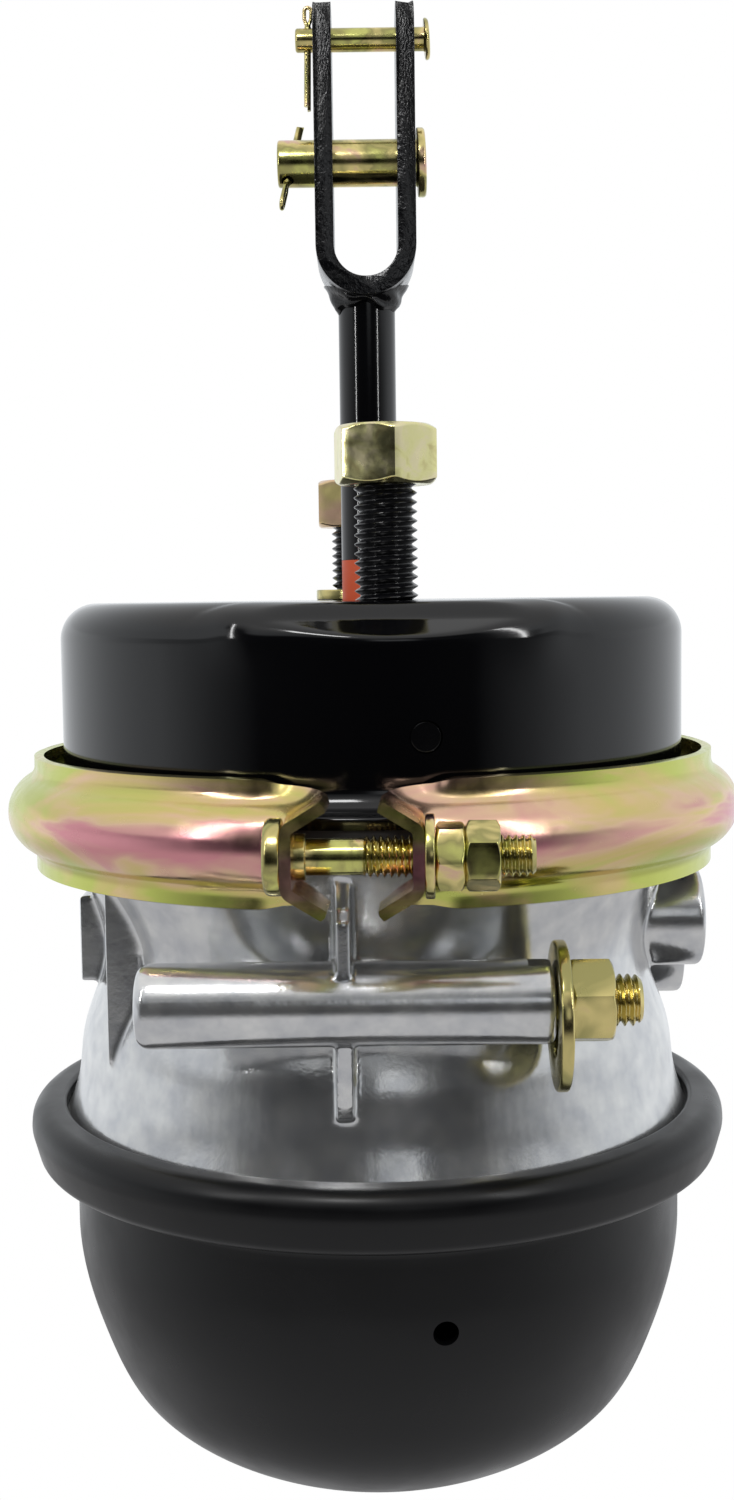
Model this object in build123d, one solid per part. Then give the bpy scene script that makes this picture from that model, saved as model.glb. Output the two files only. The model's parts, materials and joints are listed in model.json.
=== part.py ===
from build123d import *
import os
from math import asin, atan2, cos, degrees, hypot, radians, sin, sqrt, tan

# Type 30/30 spring brake chamber, standing on its spring head with the push rod pointing up.
# Millimetres. The origin is on the mounting face, midway between the two mounting studs,
# and +Z runs out of the chamber along the push rod. The rest pose is the spring brake
# applied: the release bolt is stowed, and the push rod is at its full stroke.

# ---- driving dimensions -------------------------------------------------------------------
RUN_CLEARANCE = 0.06            # radial clearance of a running or threaded fit
SEAT_GAP = 0.05                 # gap left between pieces that are pressed face to face
LOOSE_GAP = 0.3                 # gap between a moving piece and what it rests against
STROKE = 63.5                   # travel of the push rod

# mounting face, studs and their nuts (5/8-11)
STUD_SPACING = 120.65
STUD_RADIUS = 7.94
STUD_CORE_RADIUS = 7.2          # inside the nut, where the two threads share the depth
STUD_NECK_RADIUS = 8.4          # knurled neck pressed into the housing
STUD_END = 36.5
STUD_HEAD_RADIUS = 14.0
STUD_HEAD_THICKNESS = 4.0
HOUSING_CLOCKING = 3.7          # degrees that the studs are turned about the rod axis
NUT_FLATS = 23.8
NUT_THICKNESS = 14.6
NUT_SEAT_NEAR = 28.6
NUT_SEAT_FAR = 22.8
NUT_TURN_NEAR = 39.6
NUT_TURN_FAR = 30.0
NUT_CHAMFER = 1.6
STUD_WASHER_BORE = 9.3
STUD_WASHER_RADIUS = 13.0
STUD_WASHER_THICKNESS = 3.2

# non-pressure housing (steel pressing)
HOUSING_WALL = 3.0
STUD_TO_WALL = 26.875           # from a stud's axis to the outside of the wall
HOUSING_RADIUS = STUD_SPACING / 2 + STUD_TO_WALL
HOUSING_SHOULDER = 11.0
HOUSING_FLARE = 6.0
ROD_HOLE_RADIUS = 15.0
STUD_TO_PAD_STEP = 16.175       # from a stud's axis to where the stamped flat begins
PAD_STEP_Y = STUD_SPACING / 2 + STUD_TO_PAD_STEP
PAD_STEP_DEPTH = 4.4
PAD_STEP_RUN = 3.0
PAD_FACET_DEPTH = 9.4
PAD_FACET_RUN = 10.2
VENT_RADIUS = 4.0
VENT_HEIGHT = -32.5
VENT_ANGLE = 8.3                # degrees from the front, towards +X
VENT_PLUG_THICKNESS = 1.2
VENT_PLUG_LIP = 1.6
VENT_LIP_DROP = 0.25            # clears the curve of the wall beside the hole

# clamped joint between the housing and the adapter
JOINT_HEIGHT = -57.1            # middle of the clamp band
FLANGE_WIDTH = 9.2
FLANGE_RADIUS = HOUSING_RADIUS + FLANGE_WIDTH
BEAD_THICKNESS = 5.8
MOUTH_STEP = 4.2
ADAPTER_MOUTH_RADIUS = HOUSING_RADIUS - MOUTH_STEP
ADAPTER_FLANGE_THICKNESS = 4.6

# clamp band, two halves
BAND_THICKNESS = 2.6
BAND_STANDOFF = 6.4             # from the flanges' edge to the crest of the bow
BAND_RADIUS = FLANGE_RADIUS + BAND_STANDOFF
BAND_BOW_RADIUS = 11.0
BAND_BOW_ANGLE = 60.0            # where each flank leaves the bow, from the middle
BAND_LIP_SET = 7.5              # from the crest of the bow in to the lips
BAND_LIP_RADIUS = BAND_RADIUS - BAND_LIP_SET
BAND_LIP_REACH = 15.4           # height of a lip's edge from the middle of the band
BAND_KNEE_RADIUS = 3.5
CLAMP_CLOCKING = -2.5           # degrees that the band's joints are turned
LUG_HALF_GAP = 13.3
LUG_THICKNESS = 2.75
LUG_HALF_FLAT = 6.2
LUG_HALF_HEIGHT = 11.2
LUG_WING_REACH = 8.2
LUG_EDGE = 8.6                  # from the bolt's axis to the lug's outer edge

# clamp bolts (3/8-16) and their nuts
BOLT_RADIUS = 4.76
BOLT_CORE_RADIUS = 4.25
BOLT_HEAD_RADIUS = 8.8
BOLT_HEAD_THICKNESS = 4.1
BOLT_NECK_LENGTH = 2.8
BOLT_LENGTH = 56.8              # from under the head
BOLT_NUT_FLATS = 14.3
BOLT_NUT_THICKNESS = 6.6
BOLT_JAM_THICKNESS = 7.8
BOLT_NUT_TURN = 12.0
BOLT_WASHER_RADIUS = 9.6
BOLT_WASHER_THICKNESS = 2.3

# push rod, plate and clevis
ROD_RADIUS = 7.95
BAND_MARK_TOP = 11.3            # orange over-stroke mark, above the mounting face
BAND_MARK_LENGTH = 14.0
BAND_MARK_DEPTH = 0.25
GUARD_THICKNESS = 3.0
GUARD_COLLAR_RADIUS = 21.0
PLATE_EDGE = 16.2               # from the housing's outside in to the plate's rim
PLATE_RADIUS = HOUSING_RADIUS - PLATE_EDGE
PLATE_THICKNESS = 3.6
PLATE_TOP = -11.4
PLATE_RIM_RADIUS = 3.0
CLEVIS_ROOT = 83.3
CLEVIS_HALF_WIDTH = 13.8
CLEVIS_EAR = 5.0
CLEVIS_DEPTH = 25.4
CLEVIS_OUTER_BEND = 13.6
CLEVIS_WELD_RADIUS = 9.9
CLEVIS_WELD_LENGTH = 8.0
CLEVIS_PIN_HEIGHT = 121.2
CLEVIS_PIN_RADIUS = 6.35
CLEVIS_TIP = 9.65               # from the adjuster pin's axis to the top of the ears
ADJUSTER_PIN_SPACING = 33.35
ADJUSTER_PIN_RADIUS = 3.175
CLEVIS_TOP = CLEVIS_PIN_HEIGHT + ADJUSTER_PIN_SPACING + CLEVIS_TIP
CLEVIS_PIN_TAIL = 24.2
CLEVIS_PIN_HEAD_RADIUS = 9.3
CLEVIS_PIN_HEAD_THICKNESS = 2.5
CLEVIS_PIN_HEAD_GAP = 0.6
ADJUSTER_PIN_TAIL = 18.8
ADJUSTER_PIN_HEAD_RADIUS = 5.5
ADJUSTER_PIN_HEAD_THICKNESS = 1.6
ADJUSTER_PIN_HEAD_GAP = 3.0
CLEVIS_COTTER_RADIUS = 1.45
CLEVIS_COTTER_INSET = 3.8       # from the pin's tail end
CLEVIS_COTTER_HEAD = 8.4
CLEVIS_COTTER_EYE = 9.0
CLEVIS_COTTER_LEG = 13.6
CLEVIS_COTTER_TILT = 9.3        # degrees, in the plane of the two pins
CLEVIS_COTTER_LEAN = 33.0       # degrees that the pin has rolled, eye towards the front
ADJUSTER_COTTER_RADIUS = 0.95
ADJUSTER_COTTER_INSET = 3.4
ADJUSTER_COTTER_HEAD = 3.8
ADJUSTER_COTTER_EYE = 5.2
ADJUSTER_COTTER_LEG = 19.0
ADJUSTER_COTTER_TILT = 1.0

# service diaphragm and return spring
RUBBER_THICKNESS = 3.0
SERVICE_WALL_RADIUS = HOUSING_RADIUS - HOUSING_WALL - 2.2
SERVICE_CROWN_RADIUS = 12.0
RETURN_WIRE_RADIUS = 1.7
RETURN_COILS = 3
RETURN_INNER_RADIUS = 26.0
RETURN_OUTER_RADIUS = 42.0

# adapter (aluminium casting)
ADAPTER_NECK_STEP = 3.2         # from the housing's outside in to the casting's neck
ADAPTER_NECK_RADIUS = HOUSING_RADIUS - ADAPTER_NECK_STEP
ADAPTER_NECK_Z = -74.0
ADAPTER_WAIST_RADIUS = ADAPTER_NECK_RADIUS - 7.2
ADAPTER_WAIST_Z = -95.0
ADAPTER_BELLY_Z = -121.0
ADAPTER_SKIRT_Z = -133.0
ADAPTER_WALL = 6.0
WEB_THICKNESS = 8.0
HUB_RADIUS = 25.0
HUB_BOTTOM = -112.0
TUBE_RADIUS = 10.3
TUBE_STANDOFF = 9.2             # from the waist to the tube's axis
TUBE_Y = -ADAPTER_WAIST_RADIUS - TUBE_STANDOFF
TUBE_Z = -96.6
TUBE_CLOSED_X = -57.9
TUBE_OPEN_X = 42.5
TUBE_BORE_RADIUS = 8.4
TUBE_END_WALL = 6.0
TUBE_WEB_THICKNESS = 8.0
TUBE_WEB_DEPTH = 40.0
TUBE_SLOT_WIDTH = 8.0           # through the top of the tube, at its open end
TUBE_SLOT_LENGTH = 6.3
RIB_X = -7.9
RIB_ROOT_WIDTH = 6.2            # where it leaves the casting's wall
RIB_EDGE_WIDTH = 3.2
RIB_TOP_Y = -93.7               # front edge above the tube
RIB_MIDDLE_Y = -90.0            # front edge just below the tube
RIB_BOTTOM = -126.0
RIB_DEPTH = 28.0
SERVICE_PORT_Z = -92.0
SERVICE_PORT_Y = 0.0
PORT_STANDOFF = 16.7            # from the waist to the face of a port's boss
SERVICE_PORT_X = ADAPTER_WAIST_RADIUS + PORT_STANDOFF
SPRING_PORT_Z = -110.0
SPRING_PORT_Y = 45.0
SPRING_PORT_X = SERVICE_PORT_X + 2.2
PORT_BOSS_RADIUS = 14.2
PORT_BORE_RADIUS = 7.3
PORT_BORE_DEPTH = 15.0
PORT_PASSAGE_RADIUS = 4.5
BLANK_BOSS_X = -ADAPTER_WAIST_RADIUS - 6.2
BLANK_BOSS_HALF_WIDTH = 14.0
BLANK_BOSS_TOP = -82.0
BLANK_BOSS_BOTTOM = -106.0
GUSSET_FRONT_Y = -47.0          # upright gusset at the left
GUSSET_THICKNESS = 7.0
GUSSET_PROUD = 5.9
GUSSET_TOP = -74.0
GUSSET_BOTTOM = -121.0

# crimped joint between the adapter and the spring housing
CRIMP_LIP_TOP = -139.5
CRIMP_RADIUS = 98.9
CRIMP_LIP_RADIUS = CRIMP_RADIUS - 9.9
ADAPTER_FOOT_RADIUS = CRIMP_LIP_RADIUS - 0.4
ADAPTER_SKIRT_RADIUS = CRIMP_LIP_RADIUS - 3.6
ADAPTER_BELLY_RADIUS = ADAPTER_SKIRT_RADIUS - 1.6
CRIMP_BULGE_Z = -146.5
CRIMP_WALL = 3.4
CRIMP_BOTTOM = -155.6
CRIMP_HEEL_RADIUS = CRIMP_RADIUS - 3.7
SPRING_BEAD_THICKNESS = 5.0

# spring housing (steel pressing)
DOME_STEP = 12.5                # from the crimped ring in to the dome's side
DOME_RADIUS = CRIMP_RADIUS - DOME_STEP
DOME_WALL = 3.4
DOME_BOTTOM = -247.9
DOME_DEPTH = CRIMP_BOTTOM - DOME_BOTTOM
DOME_STRAIGHT_Z = CRIMP_BOTTOM - DOME_DEPTH * 0.1994
DOME_SHOULDER_RADIUS = DOME_RADIUS - 6.0
DOME_SHOULDER_Z = CRIMP_BOTTOM - DOME_DEPTH * 0.5146
DOME_FLANK_RADIUS = DOME_RADIUS - 15.2
DOME_FLANK_Z = CRIMP_BOTTOM - DOME_DEPTH * 0.7226
DOME_HEEL_RADIUS = DOME_RADIUS - 38.8
DOME_HEEL_Z = CRIMP_BOTTOM - DOME_DEPTH * 0.9101
DOME_VENT_RADIUS = 3.2
DOME_VENT_Z = CRIMP_BOTTOM - DOME_DEPTH * 0.2611
DOME_VENT_X = 16.0
RELEASE_HOLE_RADIUS = 12.0
RELEASE_PLUG_THICKNESS = 2.5
RELEASE_PLUG_RADIUS = 15.0

# spring piston: hollow stem, pressure plate, diaphragm and springs
STEM_RADIUS = 16.0
STEM_WALL = 3.0
STEM_HEAD_RADIUS = 23.0
STEM_HEAD_THICKNESS = 3.4
STEM_BASE_RADIUS = 40.0
STEM_BASE_THICKNESS = 3.4
BUSHING_WALL = 3.0
BUSHING_FLANGE = 2.0
O_RING_RADIUS = 1.7
O_RING_INSET = 6.0
PISTON_TOP = -128.0
SPRING_DIAPHRAGM_WALL_RADIUS = DOME_RADIUS - 9.4
PRESSURE_PLATE_RADIUS = SPRING_DIAPHRAGM_WALL_RADIUS - 8.0
PRESSURE_PLATE_THICKNESS = 5.0
PRESSURE_PLATE_SKIRT = 9.0
SPRING_WIRE_RADIUS = 6.4
SPRING_COILS = 4
SPRING_FOOT_RADIUS = 30.0
SPRING_HEAD_RADIUS = PRESSURE_PLATE_RADIUS - 14.0
SPRING_FOOT_RISE = DOME_DEPTH * 0.0206  # lifts the first coil clear of the crown round the floor
STEM_SPRING_WIRE_RADIUS = 1.5
STEM_SPRING_COILS = 4
STEM_SPRING_RADIUS = 30.0

# release bolt stowed in the adapter's side tube (1/2-13)
RELEASE_RADIUS = 6.3
RELEASE_CORE_RADIUS = 5.7
RELEASE_END_X = 63.6
RELEASE_LUG_WIDTH = 15.6
RELEASE_LUG_HEIGHT = 8.0
RELEASE_LUG_LENGTH = 7.0
RELEASE_NUT_FLATS = 19.0
RELEASE_NUT_THICKNESS = 10.8
RELEASE_WASHER_RADIUS = 18.2
RELEASE_WASHER_BORE = 10.0
RELEASE_WASHER_THICKNESS = 3.2

# ---- sizes that follow from the driving ones ----------------------------------------------
HOUSING_FLANGE_BOTTOM = JOINT_HEIGHT + BEAD_THICKNESS / 2 + 0.9
BEAD_TOP = HOUSING_FLANGE_BOTTOM - SEAT_GAP
BEAD_BOTTOM = BEAD_TOP - BEAD_THICKNESS
ADAPTER_TOP = BEAD_BOTTOM - SEAT_GAP
ADAPTER_FLANGE_BOTTOM = ADAPTER_TOP - ADAPTER_FLANGE_THICKNESS
BAND_BOW_CENTRE = BAND_RADIUS - BAND_BOW_RADIUS
CLAMP_BOLT_Z = JOINT_HEIGHT
CLAMP_BOLT_Y = BAND_RADIUS - LUG_HALF_GAP ** 2 / (2 * BAND_RADIUS) + BOLT_WASHER_RADIUS + LOOSE_GAP
LUG_OUTER_X = LUG_HALF_GAP + LUG_THICKNESS
LUG_INNER_Y = FLANGE_RADIUS + LOOSE_GAP
LUG_OUTER_Y = CLAMP_BOLT_Y + LUG_EDGE
ADJUSTER_PIN_HEIGHT = CLEVIS_PIN_HEIGHT + ADJUSTER_PIN_SPACING
PLATE_BOTTOM = PLATE_TOP - PLATE_THICKNESS
ROD_TOP = CLEVIS_ROOT - 2 * SEAT_GAP
SERVICE_RUBBER_TOP = PLATE_BOTTOM - SEAT_GAP
STEM_TOP = SERVICE_RUBBER_TOP - RUBBER_THICKNESS - LOOSE_GAP
PISTON_RUBBER_BOTTOM = PISTON_TOP - RUBBER_THICKNESS
STEM_BOTTOM = PISTON_TOP + SEAT_GAP
PRESSURE_PLATE_TOP = PISTON_RUBBER_BOTTOM - SEAT_GAP
PRESSURE_PLATE_BOTTOM = PRESSURE_PLATE_TOP - PRESSURE_PLATE_THICKNESS
WEB_TOP = STEM_TOP - STEM_HEAD_THICKNESS - STROKE - 2 * LOOSE_GAP
WEB_BOTTOM = WEB_TOP - WEB_THICKNESS
HUB_BORE_RADIUS = STEM_RADIUS + RUN_CLEARANCE + BUSHING_WALL + SEAT_GAP
CRIMP_LIP_BOTTOM = CRIMP_LIP_TOP - CRIMP_WALL
CRIMP_INNER_RADIUS = CRIMP_RADIUS - CRIMP_WALL
ADAPTER_FOOT_TOP = CRIMP_LIP_BOTTOM - SEAT_GAP
CRIMP_LEDGE = CRIMP_BOTTOM + CRIMP_WALL
SPRING_BEAD_BOTTOM = CRIMP_LEDGE + SEAT_GAP
SPRING_BEAD_TOP = SPRING_BEAD_BOTTOM + SPRING_BEAD_THICKNESS
ADAPTER_BOTTOM = SPRING_BEAD_TOP + SEAT_GAP
DOME_FLOOR = DOME_BOTTOM + DOME_WALL


# ---- helpers ------------------------------------------------------------------------------
def profile(corners, plane=Plane.XZ):
    """Closed face through corners (x, y) or (x, y, fillet radius)."""
    points = [corner[:2] for corner in corners]
    radii = [corner[2] if len(corner) > 2 else 0 for corner in corners]
    outline = FilletPolyline(*points, radius=radii, close=True)
    return make_face(plane * outline)


def turned(corners):
    """Solid of revolution about Z from (radius, z) corners."""
    return revolve(profile(corners), Axis.Z)


def disc(radius, bottom, top):
    return Pos(0, 0, bottom) * extrude(Circle(radius), top - bottom)


def along_x(radius, x_start, x_end, y, z):
    """Round bar along X."""
    return Pos(x_start, y, z) * Rot(0, 90, 0) * extrude(Circle(radius), x_end - x_start)


def box_between(low, high):
    size = [b - a for a, b in zip(low, high)]
    return Pos(*low) * Box(*size, align=(Align.MIN, Align.MIN, Align.MIN))


def hex_nut(flats, thickness, bore, chamfer_depth):
    """Nut on the XY plane, thickness along +Z, both faces chamfered to a round."""
    corner = flats / sqrt(3)
    body = extrude(RegularPolygon(corner, 6), thickness)
    flat = flats / 2
    cone = turned([(0, 0), (flat, 0), (flat + chamfer_depth * 2, chamfer_depth),
                   (flat + chamfer_depth * 2, thickness - chamfer_depth), (flat, thickness),
                   (0, thickness)])
    return (body & cone) - disc(bore, -1, thickness + 1)


def washer(radius, bore, thickness):
    return disc(radius, 0, thickness) - disc(bore, -1, thickness + 1)


def cotter(radius, head, eye, leg):
    """Split pin along Z: a long eye above head, seen edge-on from Y, and its legs below."""
    half = radius / 2
    shank = disc(radius, -leg, head)
    loop = profile([(-radius, head - half, radius), (radius, head - half, radius),
                    (radius, head + eye - half, radius), (-radius, head + eye - half, radius)])
    path = loop.face().outer_wire()
    ring = sweep(Plane(path @ 0, z_dir=path % 0) * Circle(half), path)
    tip = Pos(0, 0, -leg) * Sphere(radius)
    return shank + ring + tip


def coil(start_radius, end_radius, wire_radius, turns, bottom, top):
    """Compression spring whose coil radius runs from start_radius up to end_radius."""
    height = top - bottom - 2 * wire_radius
    slant = hypot(height, end_radius - start_radius)
    cone = degrees(atan2(end_radius - start_radius, height))
    quarters = []
    for count in range(4 * turns):
        done = count / (4 * turns)
        radius = start_radius + (end_radius - start_radius) * done
        quarter = Helix(slant / turns, height / (4 * turns), radius, cone_angle=cone)
        quarters.append(Pos(0, 0, height * done) * Rot(0, 0, 90 * count) * quarter)
    path = Wire([quarter.edge() for quarter in quarters])
    section = Plane(path @ 0, z_dir=path % 0) * Circle(wire_radius)
    return Pos(0, 0, bottom + wire_radius) * sweep(section, path, is_frenet=True)


def stud_places():
    """The two stud axes, near and far, as (x, y)."""
    turn = radians(HOUSING_CLOCKING)
    half = STUD_SPACING / 2
    return [(side * half * sin(turn), -side * half * cos(turn)) for side in (1, -1)]


# ---- housing and mounting -----------------------------------------------------------------
def housing_form(inset, foot):
    """Filled form of the pressed cup, inset from its outer surface, ending in foot corners."""
    radius = HOUSING_RADIUS - inset
    shoulder = max(HOUSING_SHOULDER - inset, 1)
    body = turned([(0, -inset), (radius, -inset, shoulder)] + foot)
    tilt = Rot(0, 0, HOUSING_CLOCKING)
    reach = 2 * HOUSING_RADIUS
    for side in (0, 180):
        cut = profile([
            (PAD_STEP_Y - inset * 0.4, -inset), (PAD_STEP_Y + PAD_STEP_RUN - inset * 0.8,
                                                 -PAD_STEP_DEPTH - inset * 0.9),
            (PAD_STEP_Y + PAD_FACET_RUN - inset, -PAD_FACET_DEPTH - inset),
            (reach, -PAD_FACET_DEPTH - inset), (reach, HOUSING_WALL),
            (PAD_STEP_Y - inset * 0.4, HOUSING_WALL)], Plane.YZ)
        body -= tilt * Rot(0, 0, 180 + side) * extrude(cut, HOUSING_RADIUS, both=True)
    return body


def vent_axis():
    """Location on the housing wall with its Z pointing outwards through the vent hole."""
    turn = radians(VENT_ANGLE)
    outward = Vector(sin(turn), -cos(turn), 0)
    return Plane(outward * (HOUSING_RADIUS - HOUSING_WALL) + Vector(0, 0, VENT_HEIGHT),
                 z_dir=outward)


def non_pressure_housing():
    flange_top = HOUSING_FLANGE_BOTTOM + HOUSING_WALL
    outer = housing_form(0, [(HOUSING_RADIUS, flange_top, HOUSING_FLARE), (FLANGE_RADIUS, flange_top),
                             (FLANGE_RADIUS, HOUSING_FLANGE_BOTTOM), (0, HOUSING_FLANGE_BOTTOM)])
    below = HOUSING_FLANGE_BOTTOM - 1
    inner = housing_form(HOUSING_WALL, [(HOUSING_RADIUS - HOUSING_WALL, below), (0, below)])
    body = outer - inner - disc(ROD_HOLE_RADIUS, -2 * HOUSING_WALL, 1)
    for x, y in stud_places():
        body -= Pos(x, y, 0) * disc(STUD_NECK_RADIUS + RUN_CLEARANCE, -2 * HOUSING_WALL, 1)
    body -= vent_axis() * Pos(0, 0, -HOUSING_WALL) * extrude(Circle(VENT_RADIUS), 4 * HOUSING_WALL)
    return body


def housing_vent_plug():
    """Thin snap-in plug, its head flush in the hole and its lip inside the wall."""
    stem = disc(VENT_RADIUS - RUN_CLEARANCE, -VENT_LIP_DROP - VENT_PLUG_THICKNESS,
                HOUSING_WALL - 0.5)
    lip = disc(VENT_RADIUS + VENT_PLUG_LIP, -VENT_LIP_DROP - VENT_PLUG_THICKNESS, -VENT_LIP_DROP)
    return vent_axis() * (stem + lip)


def mounting_studs():
    """Two headed studs, pressed through the housing from inside."""
    studs = []
    for x, y in stud_places():
        bottom = -HOUSING_WALL - SEAT_GAP
        head = disc(STUD_HEAD_RADIUS, bottom - STUD_HEAD_THICKNESS, bottom)
        neck = disc(STUD_NECK_RADIUS, bottom - 1, 0)
        seat = NUT_SEAT_NEAR if y < 0 else NUT_SEAT_FAR
        shank = disc(STUD_RADIUS, 0, seat)
        core = disc(STUD_CORE_RADIUS, 0, STUD_END)
        studs.append(Pos(x, y, 0) * (head + neck + shank + core))
    return Compound(children=studs)


def mounting_nuts():
    nuts = []
    for (x, y), seat, turn in zip(stud_places(), (NUT_SEAT_NEAR, NUT_SEAT_FAR),
                                  (NUT_TURN_NEAR, NUT_TURN_FAR)):
        nut = hex_nut(NUT_FLATS, NUT_THICKNESS, STUD_CORE_RADIUS + RUN_CLEARANCE, NUT_CHAMFER)
        nuts.append(Pos(x, y, seat) * Rot(0, 0, turn) * nut)
    return Compound(children=nuts)


def stud_washer():
    x, y = stud_places()[1]
    return Pos(x, y, SEAT_GAP) * washer(STUD_WASHER_RADIUS, STUD_WASHER_BORE,
                                        STUD_WASHER_THICKNESS)


def rod_dust_guard():
    """Plastic bush that closes the rod hole and guides the rod."""
    bore = ROD_RADIUS + RUN_CLEARANCE
    under = -HOUSING_WALL - SEAT_GAP
    flange = under - GUARD_THICKNESS
    return turned([(bore, -0.4), (ROD_HOLE_RADIUS - RUN_CLEARANCE, -0.4),
                   (ROD_HOLE_RADIUS - RUN_CLEARANCE, under), (GUARD_COLLAR_RADIUS, under),
                   (GUARD_COLLAR_RADIUS, flange), (bore, flange)])


# ---- clamp band ---------------------------------------------------------------------------
def band_section(thickness):
    """Face of the bowed band in the XZ plane, with a lip along each edge."""
    bow = radians(BAND_BOW_ANGLE)

    def side(inset):
        """Corners of the surface that lies inset from the outside, top to bottom."""
        nose = BAND_BOW_CENTRE + (BAND_BOW_RADIUS - inset) / cos(bow)
        lip = BAND_LIP_RADIUS - inset
        knee = (nose - lip) / tan(bow)
        return [(lip, BAND_LIP_REACH), (lip, knee, BAND_KNEE_RADIUS + inset),
                (nose, 0, BAND_BOW_RADIUS - inset), (lip, -knee, BAND_KNEE_RADIUS + inset),
                (lip, -BAND_LIP_REACH)]

    outline = side(0) + side(thickness)[::-1]
    return profile([(r, z + JOINT_HEIGHT, *rest) for r, z, *rest in outline])


def clamp_lug():
    """Folded lug on the +X side of a joint at the front, its flat square to the bolt."""
    flat = LUG_HALF_GAP
    tip = LUG_HALF_GAP - LUG_WING_REACH
    rise = LUG_HALF_HEIGHT - LUG_HALF_FLAT
    skew = LUG_THICKNESS * (sqrt(rise ** 2 + LUG_WING_REACH ** 2) - rise) / LUG_WING_REACH
    sheet = [(flat, LUG_HALF_FLAT, 1.5), (tip, LUG_HALF_HEIGHT),
             (tip + LUG_THICKNESS * 0.7, LUG_HALF_HEIGHT + LUG_THICKNESS * 0.75),
             (flat + LUG_THICKNESS, LUG_HALF_FLAT + skew, 3.5)]
    lower = [(x, -z, *rest) for x, z, *rest in reversed(sheet)]
    face = profile([(x, z + CLAMP_BOLT_Z, *rest) for x, z, *rest in sheet + lower])
    depth = LUG_OUTER_Y - LUG_INNER_Y
    plate = Pos(0, -LUG_INNER_Y, 0) * extrude(face, depth, dir=(0, -1, 0))
    hole = along_x(BOLT_RADIUS + 0.4, 0, 2 * LUG_OUTER_X, -CLAMP_BOLT_Y, CLAMP_BOLT_Z)
    return plate - hole


def clamp_half():
    """Half band from its front joint to its rear joint, on the +X side."""
    mouth = degrees(asin(LUG_HALF_GAP / BAND_BOW_CENTRE))
    start = Rot(0, 0, -90 + mouth)
    band = revolve(start * band_section(BAND_THICKNESS), Axis.Z, 180 - 2 * mouth)
    lug = clamp_lug()
    rear_lug = mirror(lug, Plane.XZ)
    return band + lug + rear_lug


def clamp_half_right():
    return Rot(0, 0, CLAMP_CLOCKING) * clamp_half()


def clamp_half_left():
    return Rot(0, 0, CLAMP_CLOCKING + 180) * clamp_half()


def at_both_joints(piece):
    """A piece modelled at the front joint, repeated at the rear joint."""
    return Compound(children=[Rot(0, 0, CLAMP_CLOCKING + turn) * piece for turn in (0, 180)])


def bolt_x(distance):
    """X of a point along a clamp bolt, from the outer face of the lug under its head."""
    return -LUG_OUTER_X + distance


def clamp_bolts():
    y, z = -CLAMP_BOLT_Y, CLAMP_BOLT_Z
    head = along_x(BOLT_HEAD_RADIUS, bolt_x(-BOLT_HEAD_THICKNESS - SEAT_GAP), bolt_x(-SEAT_GAP),
                   y, z)
    head = chamfer(head.edges().group_by(Axis.X)[0], 1.2)
    nut_start = LUG_OUTER_X + BOLT_WASHER_THICKNESS
    shank = along_x(BOLT_RADIUS, bolt_x(-SEAT_GAP), nut_start + SEAT_GAP, y, z)
    core = along_x(BOLT_CORE_RADIUS, nut_start, bolt_x(BOLT_LENGTH), y, z)
    nuts_end = nut_start + BOLT_NUT_THICKNESS + BOLT_JAM_THICKNESS + 4 * SEAT_GAP
    end = along_x(BOLT_RADIUS, nuts_end, bolt_x(BOLT_LENGTH), y, z)
    end = chamfer(end.edges().group_by(Axis.X)[-1], 0.8)
    neck = box_between((bolt_x(LUG_THICKNESS + SEAT_GAP), y - BOLT_RADIUS, z - BOLT_RADIUS),
                       (bolt_x(LUG_THICKNESS + BOLT_NECK_LENGTH), y + BOLT_RADIUS,
                        z + BOLT_RADIUS))
    return at_both_joints(head + shank + core + end + neck)


def clamp_washers():
    piece = Rot(0, 90, 0) * washer(BOLT_WASHER_RADIUS, BOLT_RADIUS + 0.4,
                                   BOLT_WASHER_THICKNESS - 2 * SEAT_GAP)
    return at_both_joints(Pos(LUG_OUTER_X + SEAT_GAP, -CLAMP_BOLT_Y, CLAMP_BOLT_Z) * piece)


def clamp_nut(thickness, offset, turn):
    nut = hex_nut(BOLT_NUT_FLATS, thickness, BOLT_CORE_RADIUS + RUN_CLEARANCE, 0.9)
    x = LUG_OUTER_X + BOLT_WASHER_THICKNESS + offset
    return at_both_joints(Pos(x, -CLAMP_BOLT_Y, CLAMP_BOLT_Z) * Rot(0, 90, 0)
                          * Rot(0, 0, turn) * nut)


def clamp_nuts():
    return clamp_nut(BOLT_NUT_THICKNESS, SEAT_GAP, BOLT_NUT_TURN)


def clamp_jam_nuts():
    return clamp_nut(BOLT_JAM_THICKNESS, BOLT_NUT_THICKNESS + 2 * SEAT_GAP, 2 * BOLT_NUT_TURN)


# ---- push rod group -----------------------------------------------------------------------
def push_rod():
    """Rod from the plate to the clevis, grooved for the painted over-stroke mark."""
    rod = disc(ROD_RADIUS, PLATE_TOP + SEAT_GAP, ROD_TOP)
    mark_bottom = max(BAND_MARK_TOP - BAND_MARK_LENGTH, PLATE_TOP + 4)
    groove = (disc(ROD_RADIUS + 1, mark_bottom, BAND_MARK_TOP)
              - disc(ROD_RADIUS - BAND_MARK_DEPTH, mark_bottom - 1, BAND_MARK_TOP + 1))
    return rod - groove


def stroke_mark():
    """Painted ring in the rod's groove, seen when the stroke is used up."""
    mark_bottom = max(BAND_MARK_TOP - BAND_MARK_LENGTH, PLATE_TOP + 4)
    return (disc(ROD_RADIUS, mark_bottom + 0.02, BAND_MARK_TOP - 0.02)
            - disc(ROD_RADIUS - BAND_MARK_DEPTH + 0.02, mark_bottom - 1, BAND_MARK_TOP + 1))


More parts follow.
